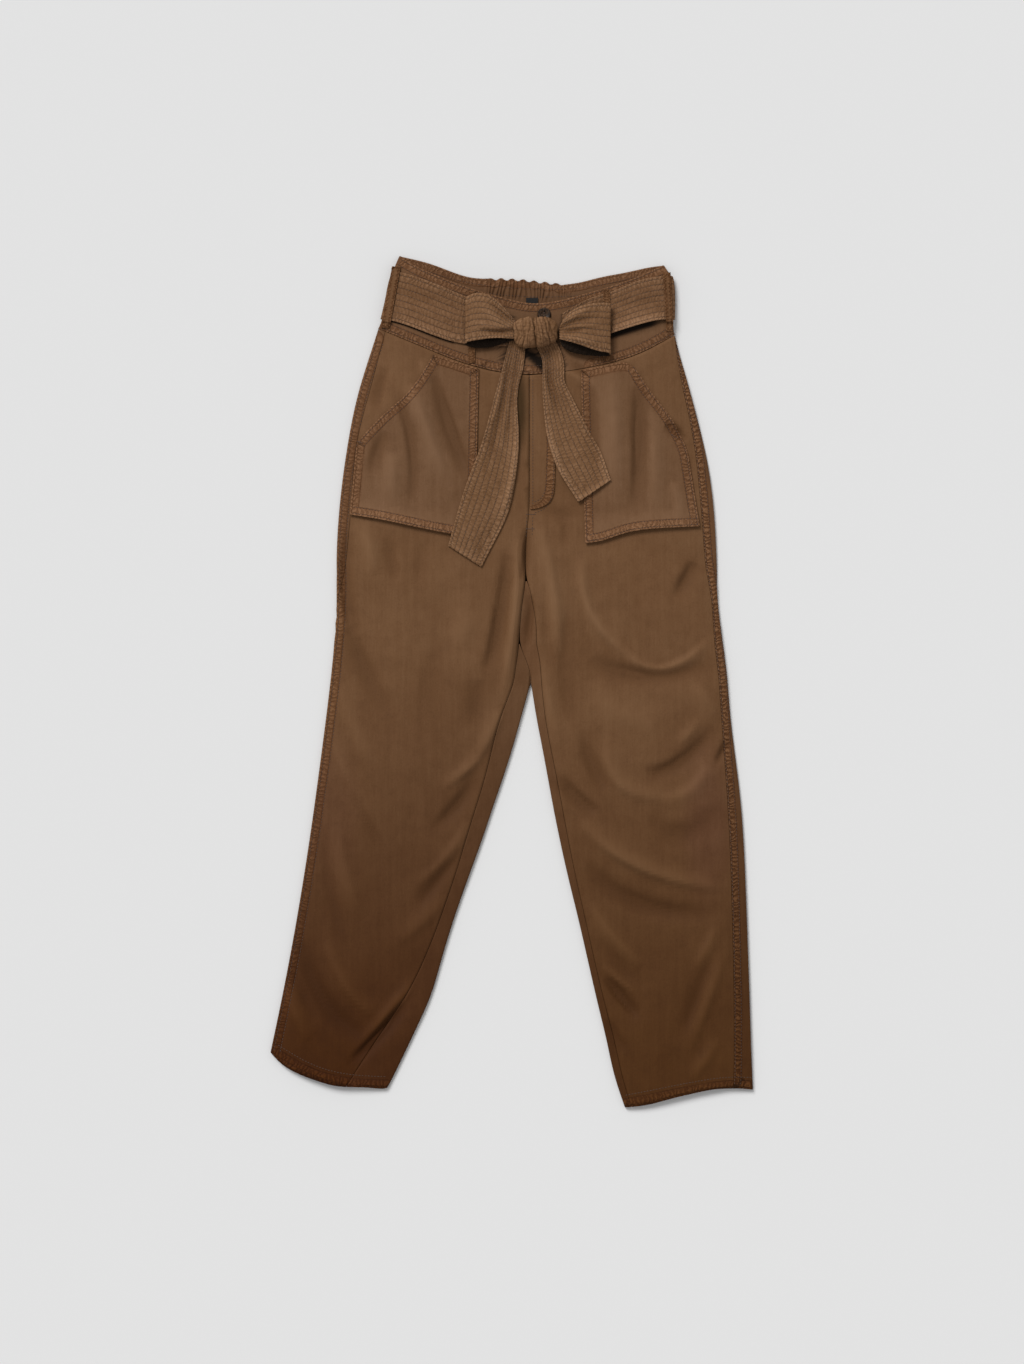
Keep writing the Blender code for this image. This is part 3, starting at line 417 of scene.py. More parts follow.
def between(one, two, share):
    """The line that lies a share of the way from one long side of a ribbon to the other."""
    first, last = [
        places_at(side, np.linspace(0, lengths_along(side)[-1], LINE_STEPS)) for side in (one, two)
    ]
    return (1 - share) * first + share * last


def ribbon_places(mesh, one, two):
    """Gives each vertex of a ribbon its distance in from the long sides, and its place along them."""
    tree = plan_tree(np.concatenate([between(one, two, share) for share in np.linspace(0, 1, SHARE_STEPS)]))
    length = lengths_along(one)[-1]
    seam = np.empty((len(mesh.vertices), 2))
    for number, vertex in enumerate(mesh.vertices):
        found = tree.find_n((vertex.co.x, vertex.co.y, 0), 4)
        weights = np.array([1 / (far + 1e-5) for _, _, far in found])
        rows, steps = np.divmod([index for _, index, _ in found], LINE_STEPS)
        share = weights @ rows / weights.sum() / (SHARE_STEPS - 1)
        inset = RIBBON_ROWS * ROW_SPACING * min(share, 1 - share)
        seam[number] = (inset, weights @ steps / weights.sum() / LINE_STEPS * length)
    return seam


def dress(node, levels, cloth, seams=None, ribbon=None, own_folds=()):
    """Lays smooth creased cloth in the form of a cut piece, sewn along its sides or along other seams.

    A ribbon is sewn in rows between its two long sides instead.
    """
    shape = merged(node)
    crease = shape.edges.layers.float.new("crease_edge")
    for edge in shape.edges:
        if edge.calc_face_angle(0) > RIM_ANGLE:
            edge[crease] = 1.0
    piece = link_mesh(shape, node + "_cloth")
    smoother = piece.modifiers.new("smoother", "SUBSURF")
    smoother.levels = levels
    smoother.render_levels = levels
    graph = bpy.context.evaluated_depsgraph_get()
    finished = bpy.data.meshes.new_from_object(piece.evaluated_get(graph))
    rough = piece.data
    piece.modifiers.clear()
    piece.data = finished
    finished.name = piece.name
    bpy.data.meshes.remove(rough)
    points = read_points(finished)
    if ribbon is None:
        seam = seam_places(finished, sides_of(node) if seams is None else seams)
    else:
        seam = ribbon_places(finished, *ribbon)
        swing = -np.cos(2 * np.pi * seam[:, 0] / ROW_SPACING)
        sunk = ROW_DEPTH * settle(0, 1, swing) * settle(*ROWS_FROM, seam[:, 0])
        points -= read_normals(finished) * sunk[:, None]
    rise = drape(points[:, 0] / MM, points[:, 1] / MM, own_folds)
    loose = settle(*LOOSE_FROM, points[:, 2])
    lifted = UNDER_SHARE * np.minimum(np.abs(rise), UNDER_MOST) * settle(*UNDER_INSET, seam[:, 0])
    points[:, 2] += MM * (rise * loose + lifted * (1 - loose))
    write_points(finished, points)
    # the creases' rise is stored too, to paint highlights on their ridges and shade in their hollows
    marks = finished.attributes.new("seam", "FLOAT_VECTOR", "POINT")
    marks.data.foreach_set("vector", np.column_stack([seam, rise]).astype(np.float32).ravel())
    finished.shade_smooth()
    finished.materials.append(cloth)
    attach(piece, "root")
    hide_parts(node)
    return piece


def put(tree, kind, *sources, **settings):
    """Adds a shader node and feeds its inputs in order, from numbers or from other nodes."""
    added = tree.nodes.new("ShaderNode" + kind)
    for setting, value in settings.items():
        setattr(added, setting, value)
    for socket, source in zip(added.inputs, sources):
        if isinstance(source, bpy.types.NodeSocket):
            tree.links.new(source, socket)
        elif source is not None:
            socket.default_value = source
    return added.outputs[0]


def mix_colours(tree, factor, first, second, way="MIX"):
    """Blends two colours, each a socket or four numbers."""
    added = tree.nodes.new("ShaderNodeMix")
    added.data_type = "RGBA"
    added.blend_type = way
    for socket, source in ((added.inputs[0], factor), (added.inputs[6], first), (added.inputs[7], second)):
        if isinstance(source, bpy.types.NodeSocket):
            tree.links.new(source, socket)
        else:
            socket.default_value = source
    return added.outputs[2]


def soften(tree, value, low, high):
    """A soft step from 0 at low to 1 at high, as a shader node."""
    return put(tree, "MapRange", value, low, high, 0.0, 1.0, interpolation_type="SMOOTHSTEP")


def stretch(tree, place, scales):
    """A place with each of its axes scaled, as a shader node."""
    return put(tree, "VectorMath", place, scales, operation="MULTIPLY")


def speckle(tree, place, scale, detail, roughness):
    """Soft random variation from place to place, as a shader node."""
    return put(tree, "TexNoise", place, None, scale, detail, roughness)


RIB_WAY = (0.80, 0.60, 0.3)  # across the twill's diagonal ribs
RIB_PITCH = 1.05 * MM
RUNG_PITCH = 5.0 * MM  # from one pucker to the next, along a seam
SEAM_TINT = (1.10, 0.93, 0.78, 1)


def soft_twill_group():
    """Soft twill: fine diagonal ribs, slubs, a mottled bloom and the ladder of puckers beside a seam, with
    painted highlights and painted shade on its puckers, crumples and creases.
    """
    group = bpy.data.node_groups.new("soft_twill", "ShaderNodeTree")
    for name, kind in (
        ("Position", "Vector"), ("Seam", "Vector"), ("Cloth", "Color"), ("Bloom", "Color"),
        ("Shade", "Color"), ("Wash", "Float"), ("Pucker", "Float"), ("Pucker reach", "Float"),
        ("First row", "Float"), ("Row gap", "Float"), ("Row reach", "Float"),
    ):
        group.interface.new_socket(name, in_out="INPUT", socket_type="NodeSocket" + kind)
    for name, kind in (("Colour", "Color"), ("Roughness", "Float"), ("Height", "Float")):
        group.interface.new_socket(name, in_out="OUTPUT", socket_type="NodeSocket" + kind)
    start = group.nodes.new("NodeGroupInput")
    end = group.nodes.new("NodeGroupOutput")
    position, seam, cloth, bloom, shade, wash, pucker, reach = start.outputs[:8]
    first_row, row_gap, row_reach = start.outputs[8:11]

    def math_node(operation, *sources):
        return put(group, "Math", *sources, operation=operation)

    def product(first, *others):
        for other in others:
            first = math_node("MULTIPLY", first, other)
        return first

    def weighted(first, *others):
        """The sum of some values, each times its weight."""
        total = product(*first)
        for part in others:
            total = math_node("ADD", total, product(*part))
        return total

    def rest_of(value):
        return math_node("SUBTRACT", 1.0, value)

    def wave(operation, turn):
        """A sine or cosine between 0 and 1."""
        return math_node("MULTIPLY_ADD", math_node(operation, turn), 0.5, 0.5)

    def clamped(value):
        return math_node("MAXIMUM", math_node("MINIMUM", value, 1.0), 0.0)

    # the seam attribute holds the distance to a seam, the place along it and the rise of the creases
    far, along, fold = put(group, "SeparateXYZ", seam).node.outputs[:3]

    # the yarn and the wash
    slant = put(group, "VectorMath", position, RIB_WAY, operation="DOT_PRODUCT").node.outputs["Value"]
    wobble = speckle(group, position, 160.0, 2.0, 0.5)
    ribs = wave("SINE", weighted((slant, 2 * math.pi / RIB_PITCH), (wobble, 5.0)))
    slubs = speckle(group, stretch(group, position, (900.0, 70.0, 900.0)), 1.0, 2.0, 0.55)
    streaks = speckle(group, stretch(group, position, (190.0, 9.0, 190.0)), 1.0, 3.0, 0.6)
    grain = speckle(group, position, 520.0, 3.0, 0.6)
    mottle = speckle(group, position, 62.0, 4.0, 0.62)
    cloud = speckle(group, position, 9.0, 3.0, 0.5)
    washed = weighted((soften(group, cloud, 0.36, 0.66), 0.45), (soften(group, mottle, 0.38, 0.68), 0.40))

    # the puckers between the rows of stitches, strongest near the seam, and the worn edge of the cloth
    row_turn = math_node("DIVIDE", math_node("SUBTRACT", far, first_row), row_gap)
    beside = rest_of(soften(group, math_node("DIVIDE", far, reach), 0.75, 1.15))
    row_number = math_node("FLOOR", row_turn)
    rungs = wave("SINE", weighted((along, 2 * math.pi / RUNG_PITCH), (mottle, 26.0), (row_number, 2.4)))
    near_edge = math_node("MULTIPLY_ADD", soften(group, far, 10 * MM, 4 * MM), 1.1, 0.9)
    ladder = product(rungs, beside, pucker, near_edge)
    worn = rest_of(soften(group, far, 0.2 * MM, 1.6 * MM))

    # the sunk line of each row, faint where the cloth is worn, and fine crumples across the rows
    row_wave = wave("COSINE", product(row_turn, 2 * math.pi))
    kept = math_node("MULTIPLY_ADD", soften(group, mottle, 0.40, 0.58), 0.60, 0.40)
    rows = product(math_node("POWER", row_wave, 14.0), math_node("LESS_THAN", far, row_reach), kept)
    off_middle = math_node("ABSOLUTE", math_node("MULTIPLY_ADD", wobble, 2.0, -1.0))
    crumple = product(math_node("POWER", rest_of(off_middle), 9.0), beside, pucker)

    # painted light: highlights on pucker crests and crease ridges, and painted shade between puckers, in
    # crumples and in crease hollows, mixed in with the yarn, wash and worn-edge tones
    light = weighted(
        (washed, wash), (soften(group, slubs, 0.48, 0.75), 0.16), (soften(group, streaks, 0.4, 0.75), 0.11),
        (ladder, 0.5), (worn, 0.30), (fold, 0.15),
    )
    dark = weighted(
        (soften(group, rest_of(mottle), 0.5, 0.72), wash, 0.4),
        (math_node("SUBTRACT", beside, ladder), pucker, 0.3),
        (soften(group, streaks, 0.55, 0.25), 0.07), (rest_of(ribs), 0.10),
        (soften(group, grain, 0.45, 0.7), 0.16), (rows, 0.5), (crumple, 0.30), (fold, -0.11),
    )
    body = mix_colours(group, clamped(light), cloth, bloom)
    body = mix_colours(group, clamped(dark), body, shade)
    body = mix_colours(group, product(beside, 0.6), body, SEAM_TINT, "MULTIPLY")
    rough = math_node("MULTIPLY_ADD", mottle, 0.16, 0.62)
    height = weighted(
        (ribs, 0.04), (slubs, 0.06), (grain, 0.06), (mottle, 0.20), (ladder, 0.55), (rows, -0.30),
        (crumple, -0.3), (fold, 0.9),
    )
    for name, value in (("Colour", body), ("Roughness", rough), ("Height", height)):
        group.links.new(value, end.inputs[name])
    return group


SOFT_TWILL = soft_twill_group()
# painted shade: the near-black that cloth is tinted towards where nearby cloth closes it in
NOOK_PAINTED_SHADE_COLOUR = (0.004, 0.0025, 0.0015, 1)
SHEEN_TINT = (0.75, 0.42, 0.20, 1)
# painted shade: the span down the legs over which the cloth darkens towards the hems
PAINTED_HEM_SHADE_SPAN = (130 * MM, -520 * MM)  # down the legs, from the thighs to the hems
Patch = namedtuple("Patch", "x y half_width half_height strength tint")  # an oval, in millimetres


def new_finish(name):
    """A new material: itself, its tree, its surface shader and the place of each point on the object."""
    material = bpy.data.materials.new(name)
    material.use_nodes = True
    tree = material.node_tree
    place = tree.nodes.new("ShaderNodeTexCoord").outputs["Object"]
    return material, tree, tree.nodes["Principled BSDF"], place


def relief(tree, height, depth, strength=1.0):
    """Shades the surface as if a height value raised it by up to a depth."""
    bump = tree.nodes.new("ShaderNodeBump")
    fill(bump, {"Strength": strength, "Distance": depth})
    tree.links.new(height, bump.inputs["Height"])
    tree.links.new(bump.outputs["Normal"], tree.nodes["Principled BSDF"].inputs["Normal"])


def twill(name, cloth, bloom, shade, rows, wash=0.25, pucker=0.7, reach=11 * MM, painted_hem_shade=None, patches=()):
    """A twill finish. Rows are (first, gap, last) from a seam, and the hem tint is painted shade, multiplied
    in more and more down the legs towards the hems.
    """
    material, tree, surface, place = new_finish(name)
    weave = tree.nodes.new("ShaderNodeGroup")
    weave.node_tree = SOFT_TWILL
    tree.links.new(place, weave.inputs["Position"])
    tree.links.new(put(tree, "Attribute", attribute_name="seam").node.outputs["Vector"], weave.inputs["Seam"])
    fill(weave, {
        "Cloth": (*cloth, 1), "Bloom": (*bloom, 1), "Shade": (*shade, 1), "Wash": wash, "Pucker": pucker,
        "Pucker reach": min(rows[2], reach), "First row": rows[0], "Row gap": rows[1], "Row reach": rows[2],
    })
    colour = weave.outputs["Colour"]
    if painted_hem_shade is not None:
        # painted shade: the cloth darkens down the legs towards the hems
        down = soften(tree, put(tree, "SeparateXYZ", place).node.outputs[1], *PAINTED_HEM_SHADE_SPAN)
        colour = mix_colours(tree, down, colour, (*painted_hem_shade, 1), "MULTIPLY")
    for patch in patches:
        shifted = put(tree, "VectorMath", place, (-patch.x * MM, -patch.y * MM, 0.0), operation="ADD")
        squeezed = stretch(tree, shifted, (1000 / patch.half_width, 1000 / patch.half_height, 0.0))
        away = put(tree, "VectorMath", squeezed, operation="LENGTH").node.outputs["Value"]
        inside = put(
            tree, "MapRange", away, 1.0, 0.2, 0.0, patch.strength, interpolation_type="SMOOTHSTEP",
        )
        colour = mix_colours(tree, inside, colour, (*patch.tint, 1), "MULTIPLY")
    # painted shade in crevices, read from the nook attribute set under the bow and the belt
    nook = put(tree, "Attribute", attribute_name="nook").node.outputs["Fac"]
    tree.links.new(mix_colours(tree, nook, colour, NOOK_PAINTED_SHADE_COLOUR), surface.inputs["Base Color"])
    tree.links.new(weave.outputs["Roughness"], surface.inputs["Roughness"])
    relief(tree, weave.outputs["Height"], 1.0 * MM, 0.9)
    fill(surface, {
        "Specular IOR Level": 0.09, "Sheen Weight": 0.05, "Sheen Roughness": 0.4, "Sheen Tint": SHEEN_TINT,
    })
    return material


def surface_of(*pieces):
    """The surface of some pieces together, ready to be looked down on."""
    together = bmesh.new()
    for piece in pieces:
        together.from_mesh(piece.data)
    surface = BVHTree.FromBMesh(together)
    together.free()
    return surface


ABOVE_ALL = 0.2  # a height over everything, in metres


def top_at(surface, x, y):
    """The highest place of a surface at a plan position, and the way it faces."""
    hit, normal, _, _ = surface.ray_cast(Vector((x, y, ABOVE_ALL)), Vector((0, 0, -1)))
    return hit, normal


OUTLINE_STEP = 8 * MM
OUTLINE_FROM = 0.4  # the search for an edge runs inwards from here, in metres
OUTLINE_TO = 0.01


def outline_of(surface, low, high, way):
    """The outermost place of a surface at each height of the garment, from low to high in metres."""
    line = []
    for y in np.arange(low, high, OUTLINE_STEP):
        x = way * OUTLINE_FROM
        while abs(x) > OUTLINE_TO and top_at(surface, x, y)[0] is None:
            x -= way * 1 * MM
        line.append((x, y, 0))
    line = np.array(line)
    for _ in range(3):
        line[1:-1, 0] = (line[:-2, 0] + 2 * line[1:-1, 0] + line[2:, 0]) / 4
    return line


def plan(*points):
    """A line through plan places given in millimetres, bending softly at each."""
    line = MM * np.array([(x, y, 0) for x, y in points], float)
    return smooth_run(line) if len(line) > 2 else line


TOBACCO_SHADE = (0.062, 0.026, 0.009)
DOUBLE_ROWS = (2.4 * MM, 7.4 * MM, 11 * MM)  # the first row, the gap and the last place from a seam
# painted shade for the right leg, darkening it towards the hem
RIGHT_PAINTED_HEM_SHADE = (0.47, 0.36, 0.20)

LEFT_SEAM = outline_of(
    surface_of(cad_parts["front_left"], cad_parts["back_left"]), -0.436, 0.412, -1,
)
RIGHT_SEAM = outline_of(surface_of(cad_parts["front_right"]), -0.476, 0.404, 1)
LEFT_HEM = plan((-285, -438), (-242, -465), (-196, -477), (-147, -479))
RIGHT_HEM = plan((134, -501), (193, -489), (248, -478), (284, -480))

# the back legs also take painted shade that darkens them towards the hems
BACK_LEFT_CLOTH = twill(
    "back_left_twill", (0.126, 0.060, 0.026), (0.192, 0.104, 0.054), TOBACCO_SHADE, DOUBLE_ROWS,
    painted_hem_shade=(0.44, 0.29, 0.15),
)
BACK_RIGHT_CLOTH = twill(
    "back_right_twill", (0.124, 0.057, 0.024), (0.200, 0.108, 0.055), TOBACCO_SHADE, DOUBLE_ROWS,
    pucker=1.0, painted_hem_shade=RIGHT_PAINTED_HEM_SHADE,
)
back_left = dress("back_left", 3, BACK_LEFT_CLOTH, seams=[LEFT_SEAM, LEFT_HEM])

back_right = dress("back_right", 3, BACK_RIGHT_CLOTH, seams=[RIGHT_SEAM, RIGHT_HEM])


# ---------------------------------------------------------------- back waistband
# The back of the waist is a folded band drawn up by elastic, so its inside stands in small upright gathers
# above the front edge. One row of stitches holds the elastic, and another the band's turned edge.
BAND_CLOTH = twill(
    "gathered_band_twill", (0.118, 0.056, 0.025), (0.200, 0.112, 0.062), TOBACCO_SHADE, DOUBLE_ROWS,
)
GATHER_PITCH = 4.6  # all in millimetres, as are the places across the band below
GATHER_RISE = 1.0
GATHER_STRAY = 7  # radians that a gather strays from even spacing
GATHER_UNEVEN = (0.75, 0.8)  # a gather's usual height, and how much it varies
GATHERS_BEGIN = (-48, -24)
GATHERS_END = (74, 96)
MOUTH_MIDDLE = 21  # the front edge of the waist is an arc, lowest here
MOUTH_LOW = 449
MOUTH_BEND = 0.0020
ABOVE_MOUTH = (0, 6)
LEAST_HEIGHT = 0.2 * MM  # over the floor

waistband_back = dress("waistband_back", 3, BAND_CLOTH)
points = read_points(waistband_back.data)
across, upward = points[:, 0] / MM, points[:, 1] / MM
drift = np.array([noise.noise(Vector((x / 11, y / 26, 4.0))) for x, y in zip(across, upward)])
drawn = settle(*GATHERS_BEGIN, across) * (1 - settle(*GATHERS_END, across))
drawn *= settle(*ABOVE_MOUTH, upward - MOUTH_LOW - MOUTH_BEND * (across - MOUTH_MIDDLE) ** 2)
gathers = np.sin(2 * np.pi * across / GATHER_PITCH + GATHER_STRAY * drift)
gathers *= GATHER_UNEVEN[0] + GATHER_UNEVEN[1] * drift
raised = points[:, 2] + MM * GATHER_RISE * drawn * gathers
points[:, 2] = np.maximum(raised, np.minimum(points[:, 2], LEAST_HEIGHT))
write_points(waistband_back.data, points)


def thread(name, colour):
    """Spun sewing thread: a matt core with a fine twist."""
    material, tree, surface, place = new_finish(name)
    twist = speckle(tree, place, 1400.0, 2.0, 0.5)
    dark = (*[0.6 * part for part in colour], 1)
    tree.links.new(mix_colours(tree, twist, dark, (*colour, 1)), surface.inputs["Base Color"])
    fill(surface, {"Roughness": 0.6, "Sheen Weight": 0.2})
    return material


RUST_THREAD = thread("rust_thread", (0.070, 0.028, 0.011))
STITCH = (1.35 * MM, 0.42 * MM, 0.30 * MM)  # half the length, width and height of one stitch
STITCH_PITCH = 3.6 * MM
STITCH_LIFT = 0.08 * MM  # from the cloth to a stitch's middle
ROW_TRIM = 2 * MM  # a row starts and ends this far in from its line's ends
STEEPEST = 0.25  # no stitch on cloth that faces up by less than this
LOOK_AHEAD = 1 * MM  # along a row, to find the way that it runs


def sew(name, surface, lines, spool, pitch=STITCH_PITCH, trim=ROW_TRIM):
    """Sews rows of separate stitches along plan lines, each lying on the cloth that is under it."""
    rows = bmesh.new()
    for line in lines:
        length = lengths_along(line)[-1] - 2 * trim
        count = int(length / pitch)
        if count < 1:
            continue
        row = bmesh.new()
        at = trim + (np.arange(count) + 0.5) * length / count
        for here, there in zip(places_at(line, at), places_at(line, at + LOOK_AHEAD)):
            hit, normal = top_at(surface, *here)
            way = Vector((*(there - here), 0))
            if hit is None or normal.z < STEEPEST or way.length < 1e-7:
                continue
            way = (way - way.dot(normal) * normal).normalized()
            turn = Matrix((way, normal.cross(way), normal)).transposed().to_4x4()
            seat = Matrix.Translation(hit + STITCH_LIFT * normal) @ turn @ Matrix.Diagonal((*STITCH, 1))
            bmesh.ops.create_icosphere(row, subdivisions=1, radius=1.0, matrix=seat)
        holder = bpy.data.meshes.new("row")
        row.to_mesh(holder)
        row.free()
        rows.from_mesh(holder)
        bpy.data.meshes.remove(holder)
    sewn = link_mesh(rows, name)
    sewn.data.materials.append(spool)
    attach(sewn, "root")


BAND_ROW = plan((-127, 493), (-84, 478), (-37, 467), (22, 462), (81, 463), (128, 472), (169, 484))
ELASTIC_ROW = BAND_ROW - np.array((0, 9 * MM, 0))
sew("back_band_stitches", surface_of(waistband_back), [BAND_ROW[:, :2], ELASTIC_ROW[:, :2]], RUST_THREAD)

belt_back = dress("belt_back", 2, BAND_CLOTH)


# ---------------------------------------------------------------- size label
# A small dark satin tab is caught under the back band's stitches.
# It is left bare, and its close floats give it a dull shine, partly real and partly painted sheen on the
# floats.
def satin(name, colour, painted_sheen):
    """Woven satin ribbon: close floats across a dark ground, their shine partly real and partly painted in as
    a lighter sheen colour.
    """
    material, tree, surface, place = new_finish(name)
    floats = speckle(tree, stretch(tree, place, (400.0, 2600.0, 400.0)), 1.0, 2.0, 0.5)
    dark = (*[0.55 * part for part in colour], 1)
    tree.links.new(mix_colours(tree, floats, dark, (*painted_sheen, 1)), surface.inputs["Base Color"])
    relief(tree, floats, 0.1 * MM)
    fill(surface, {"Roughness": 0.5, "Specular IOR Level": 0.2})
    return material


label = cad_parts["label"]
label.material_slots[0].material = satin("label_satin", (0.006, 0.005, 0.005), (0.018, 0.015, 0.014))


# ---------------------------------------------------------------- front leg panels
# The fronts lie on the backs and carry the broad drag creases that run down and out from the crotch.
# They are the same twill, with painted shade that leaves them paler over the hips and darkens them towards
# the hems, and double rows of stitches beside the side seams.
TOBACCO = (0.142, 0.068, 0.0290)
TOBACCO_BLOOM = (0.212, 0.116, 0.058)
# painted shade for the left leg, darkening it towards the hem
LEFT_PAINTED_HEM_SHADE = (0.34, 0.20, 0.055)
MAUVE = (0.98, 0.90, 1.18)
# painted shadow of the bow's tails, cast on the left front between them and laid on by the oval patch at (8,
# 322)
PAINTED_TAIL_SHADOW = (0.34, 0.35, 0.26)
FRONT_LEFT_CLOTH = twill(
    "front_left_twill", TOBACCO, TOBACCO_BLOOM, TOBACCO_SHADE, DOUBLE_ROWS, painted_hem_shade=LEFT_PAINTED_HEM_SHADE,
    patches=(Patch(-212, -160, 46, 120, 0.25, MAUVE), Patch(8, 322, 15, 68, 0.97, PAINTED_TAIL_SHADOW)),
)
FRONT_RIGHT_CLOTH = twill(
    "front_right_twill", TOBACCO, TOBACCO_BLOOM, TOBACCO_SHADE, DOUBLE_ROWS, painted_hem_shade=RIGHT_PAINTED_HEM_SHADE,
    patches=(Patch(232, -170, 42, 130, 0.5, MAUVE),),
)
front_left = dress("front_left", 3, FRONT_LEFT_CLOTH, seams=[LEFT_SEAM, LEFT_HEM])

front_right = dress("front_right", 3, FRONT_RIGHT_CLOTH, seams=[RIGHT_HEM])

PROBE = 3 * MM  # to each side of a line, to find which side has cloth


def beside(run, inset, surface, outside=False):
    """A plan line at a distance from a rim side, on the cloth's side of it, or on the other."""
    line = run[:, :2]
    step = np.gradient(line, axis=0)
    across = np.stack([-step[:, 1], step[:, 0]], axis=1)
    across /= np.maximum(np.linalg.norm(across, axis=1), 1e-9)[:, None]
    held = 0
    for at, way in zip(line[1:-1:3], across[1:-1:3]):
        held += top_at(surface, *(at + PROBE * way))[0] is not None
        held -= top_at(surface, *(at - PROBE * way))[0] is not None
    if (held < 0) != outside:
        across = -across
    return line + inset * across


HEM_DEPTH = 14 * MM
left_leg_surface = surface_of(front_left, back_left)
right_leg_surface = surface_of(front_right, back_right)
front_right_surface = surface_of(front_right)
sew("side_seam_stitches_left", left_leg_surface, [
    beside(LEFT_SEAM, inset, left_leg_surface) for inset in (3 * MM, 10.5 * MM)
], RUST_THREAD)
sew("side_seam_stitches_right", right_leg_surface, [
    beside(RIGHT_SEAM, inset, front_right_surface, outside=True) for inset in (1.8 * MM, 9 * MM)
], RUST_THREAD)
sew("hem_stitches", surface_of(front_left, back_left, front_right, back_right), [
    beside(LEFT_HEM, HEM_DEPTH, left_leg_surface), beside(RIGHT_HEM, HEM_DEPTH, right_leg_surface),
], RUST_THREAD)


# ---------------------------------------------------------------- fly
# A placket behind the front edge is held by a J of stitches that runs down from the waist and curves in.
# Two short bar tacks lock its foot.
J_ROW = plan((50, 361), (50, 300), (49, 228), (46, 212), (37, 202), (24, 198))
J_INNER = plan((42, 361), (42, 300), (41, 234), (38, 221), (33, 214), (24, 211))
PLACKET_CLOTH = twill("placket_twill", TOBACCO, TOBACCO_BLOOM, TOBACCO_SHADE, (0.0, 8.2 * MM, 9.5 * MM))
fly = dress("fly", 4, PLACKET_CLOTH, seams=[J_ROW])
EDGE_ROW = plan((24.5, 358), (24.5, 206))
TACK_PITCH = 0.9 * MM
fly_surface = surface_of(fly, front_right, front_left)
FOOT_ROWS = (plan((17.5, 197), (16.5, 168)), plan((24.5, 197), (23.5, 170)))
sew("fly_stitches", fly_surface, [
    line[:, :2] for line in (J_ROW, J_INNER, EDGE_ROW, *FOOT_ROWS)
], RUST_THREAD)
sew("fly_tacks", fly_surface, [
    plan((17, 197), (27, 197))[:, :2], plan((17, 180), (26, 180))[:, :2],
], RUST_THREAD, pitch=TACK_PITCH, trim=0)


# ---------------------------------------------------------------- patch pockets
# Each pocket is one patch sewn flat on the front, with a slanted opening towards the side seam.
# Double rows of stitches hold its inner and lower edges, and the opening is faced and stitched.
POCKET_CLOTH = twill(
    "pocket_twill", (0.140, 0.069, 0.0315), (0.218, 0.122, 0.067), TOBACCO_SHADE, DOUBLE_ROWS,
)
TOPSTITCHES = (2.2 * MM, 9.5 * MM)  # from an edge to its two rows


def side_near(runs, x, y):
    """The rim side that passes nearest to a plan position given in millimetres, the upper one of two."""
    here = np.array((x * MM, y * MM))

    def far_or_low(run):
        return np.min(np.linalg.norm(run[:, :2] - here, axis=1)) - 1e-4 * np.max(run[:, 2])

    return min(runs, key=far_or_low)


pockets = []
for side, width, area, ridge, stitched in (  # the last are places near the sides that are topstitched
    (
        "left", 0.155, 0.024, Fold(-204, 197, -130, 187, -50, 176, 13, 1.0),
        ((-138, 326), (-117, 183), (-41, 252)),
    ),
    (
        "right", 0.145, 0.0225, Fold(72, 163, 150, 180, 234, 190, 13, 1.0),
        ((210, 253), (154, 179), (84, 247)),
    ),
):
    pocket_sides = sides_of("pocket_" + side)
    pocket = dress("pocket_" + side, 4, POCKET_CLOTH, seams=pocket_sides, own_folds=[ridge])
    pocket_surface = surface_of(pocket)
    sew("pocket_stitches_" + side, pocket_surface, [
        beside(side_near(pocket_sides, x, y), inset, pocket_surface)
        for x, y in stitched for inset in TOPSTITCHES
    ], RUST_THREAD)
    pockets.append(pocket)
sew("pocket_tacks", surface_of(*pockets, front_left, front_right), [
    plan((-184, 284), (-176, 281))[:, :2], plan((187, 291), (194, 287))[:, :2],
], RUST_THREAD, pitch=TACK_PITCH, trim=0)


# ---------------------------------------------------------------- front waistband
# A plain band of doubled twill, topstitched twice along both edges, closes over the fly with one button.
# It takes in the tops of the front legs and of the fly.
FRONT_BAND_CLOTH = twill(
    "front_band_twill", (0.138, 0.068, 0.031), (0.215, 0.120, 0.066), TOBACCO_SHADE, DOUBLE_ROWS,
)
waistband_front_sides = sides_of("waistband_front")
waistband_front = dress(
    "waistband_front", 4, FRONT_BAND_CLOTH, seams=waistband_front_sides,
)
front_band_surface = surface_of(waistband_front)
sew("front_band_stitches", front_band_surface, [
    beside(side_near(waistband_front_sides, x, y), inset, front_band_surface)
    for x, y in ((21, 445), (-63, 378), (107, 373)) for inset in TOPSTITCHES
], RUST_THREAD)


# ---------------------------------------------------------------- button
# A dark horn button with a dished face and four holes is sewn on with two bars of brown thread.
# The thread holds it to the band, and the buttonhole stays behind the knot.
BUTTON_PROFILE = (  # from the middle outwards and back: distance and height in millimetres
    (0, 1.0), (2.9, 1.0), (3.8, 1.5), (5.4, 2.3), (6.9, 2.3), (7.8, 1.5), (8.1, 0.5), (7.3, 0.05), (0, 0.05),
)
BUTTON_SMOOTH = math.radians(40)  # an edge sharper than this stays sharp
HOLE_RADIUS = 0.95 * MM
HOLE_OFFSET = 1.65 * MM
DRILL_DEPTH = 12 * MM
THREAD_BAR = (2.3 * MM, 0.5 * MM, 0.4 * MM)  # half the length, width and height of a bar
THREAD_HEIGHT = 1.1 * MM


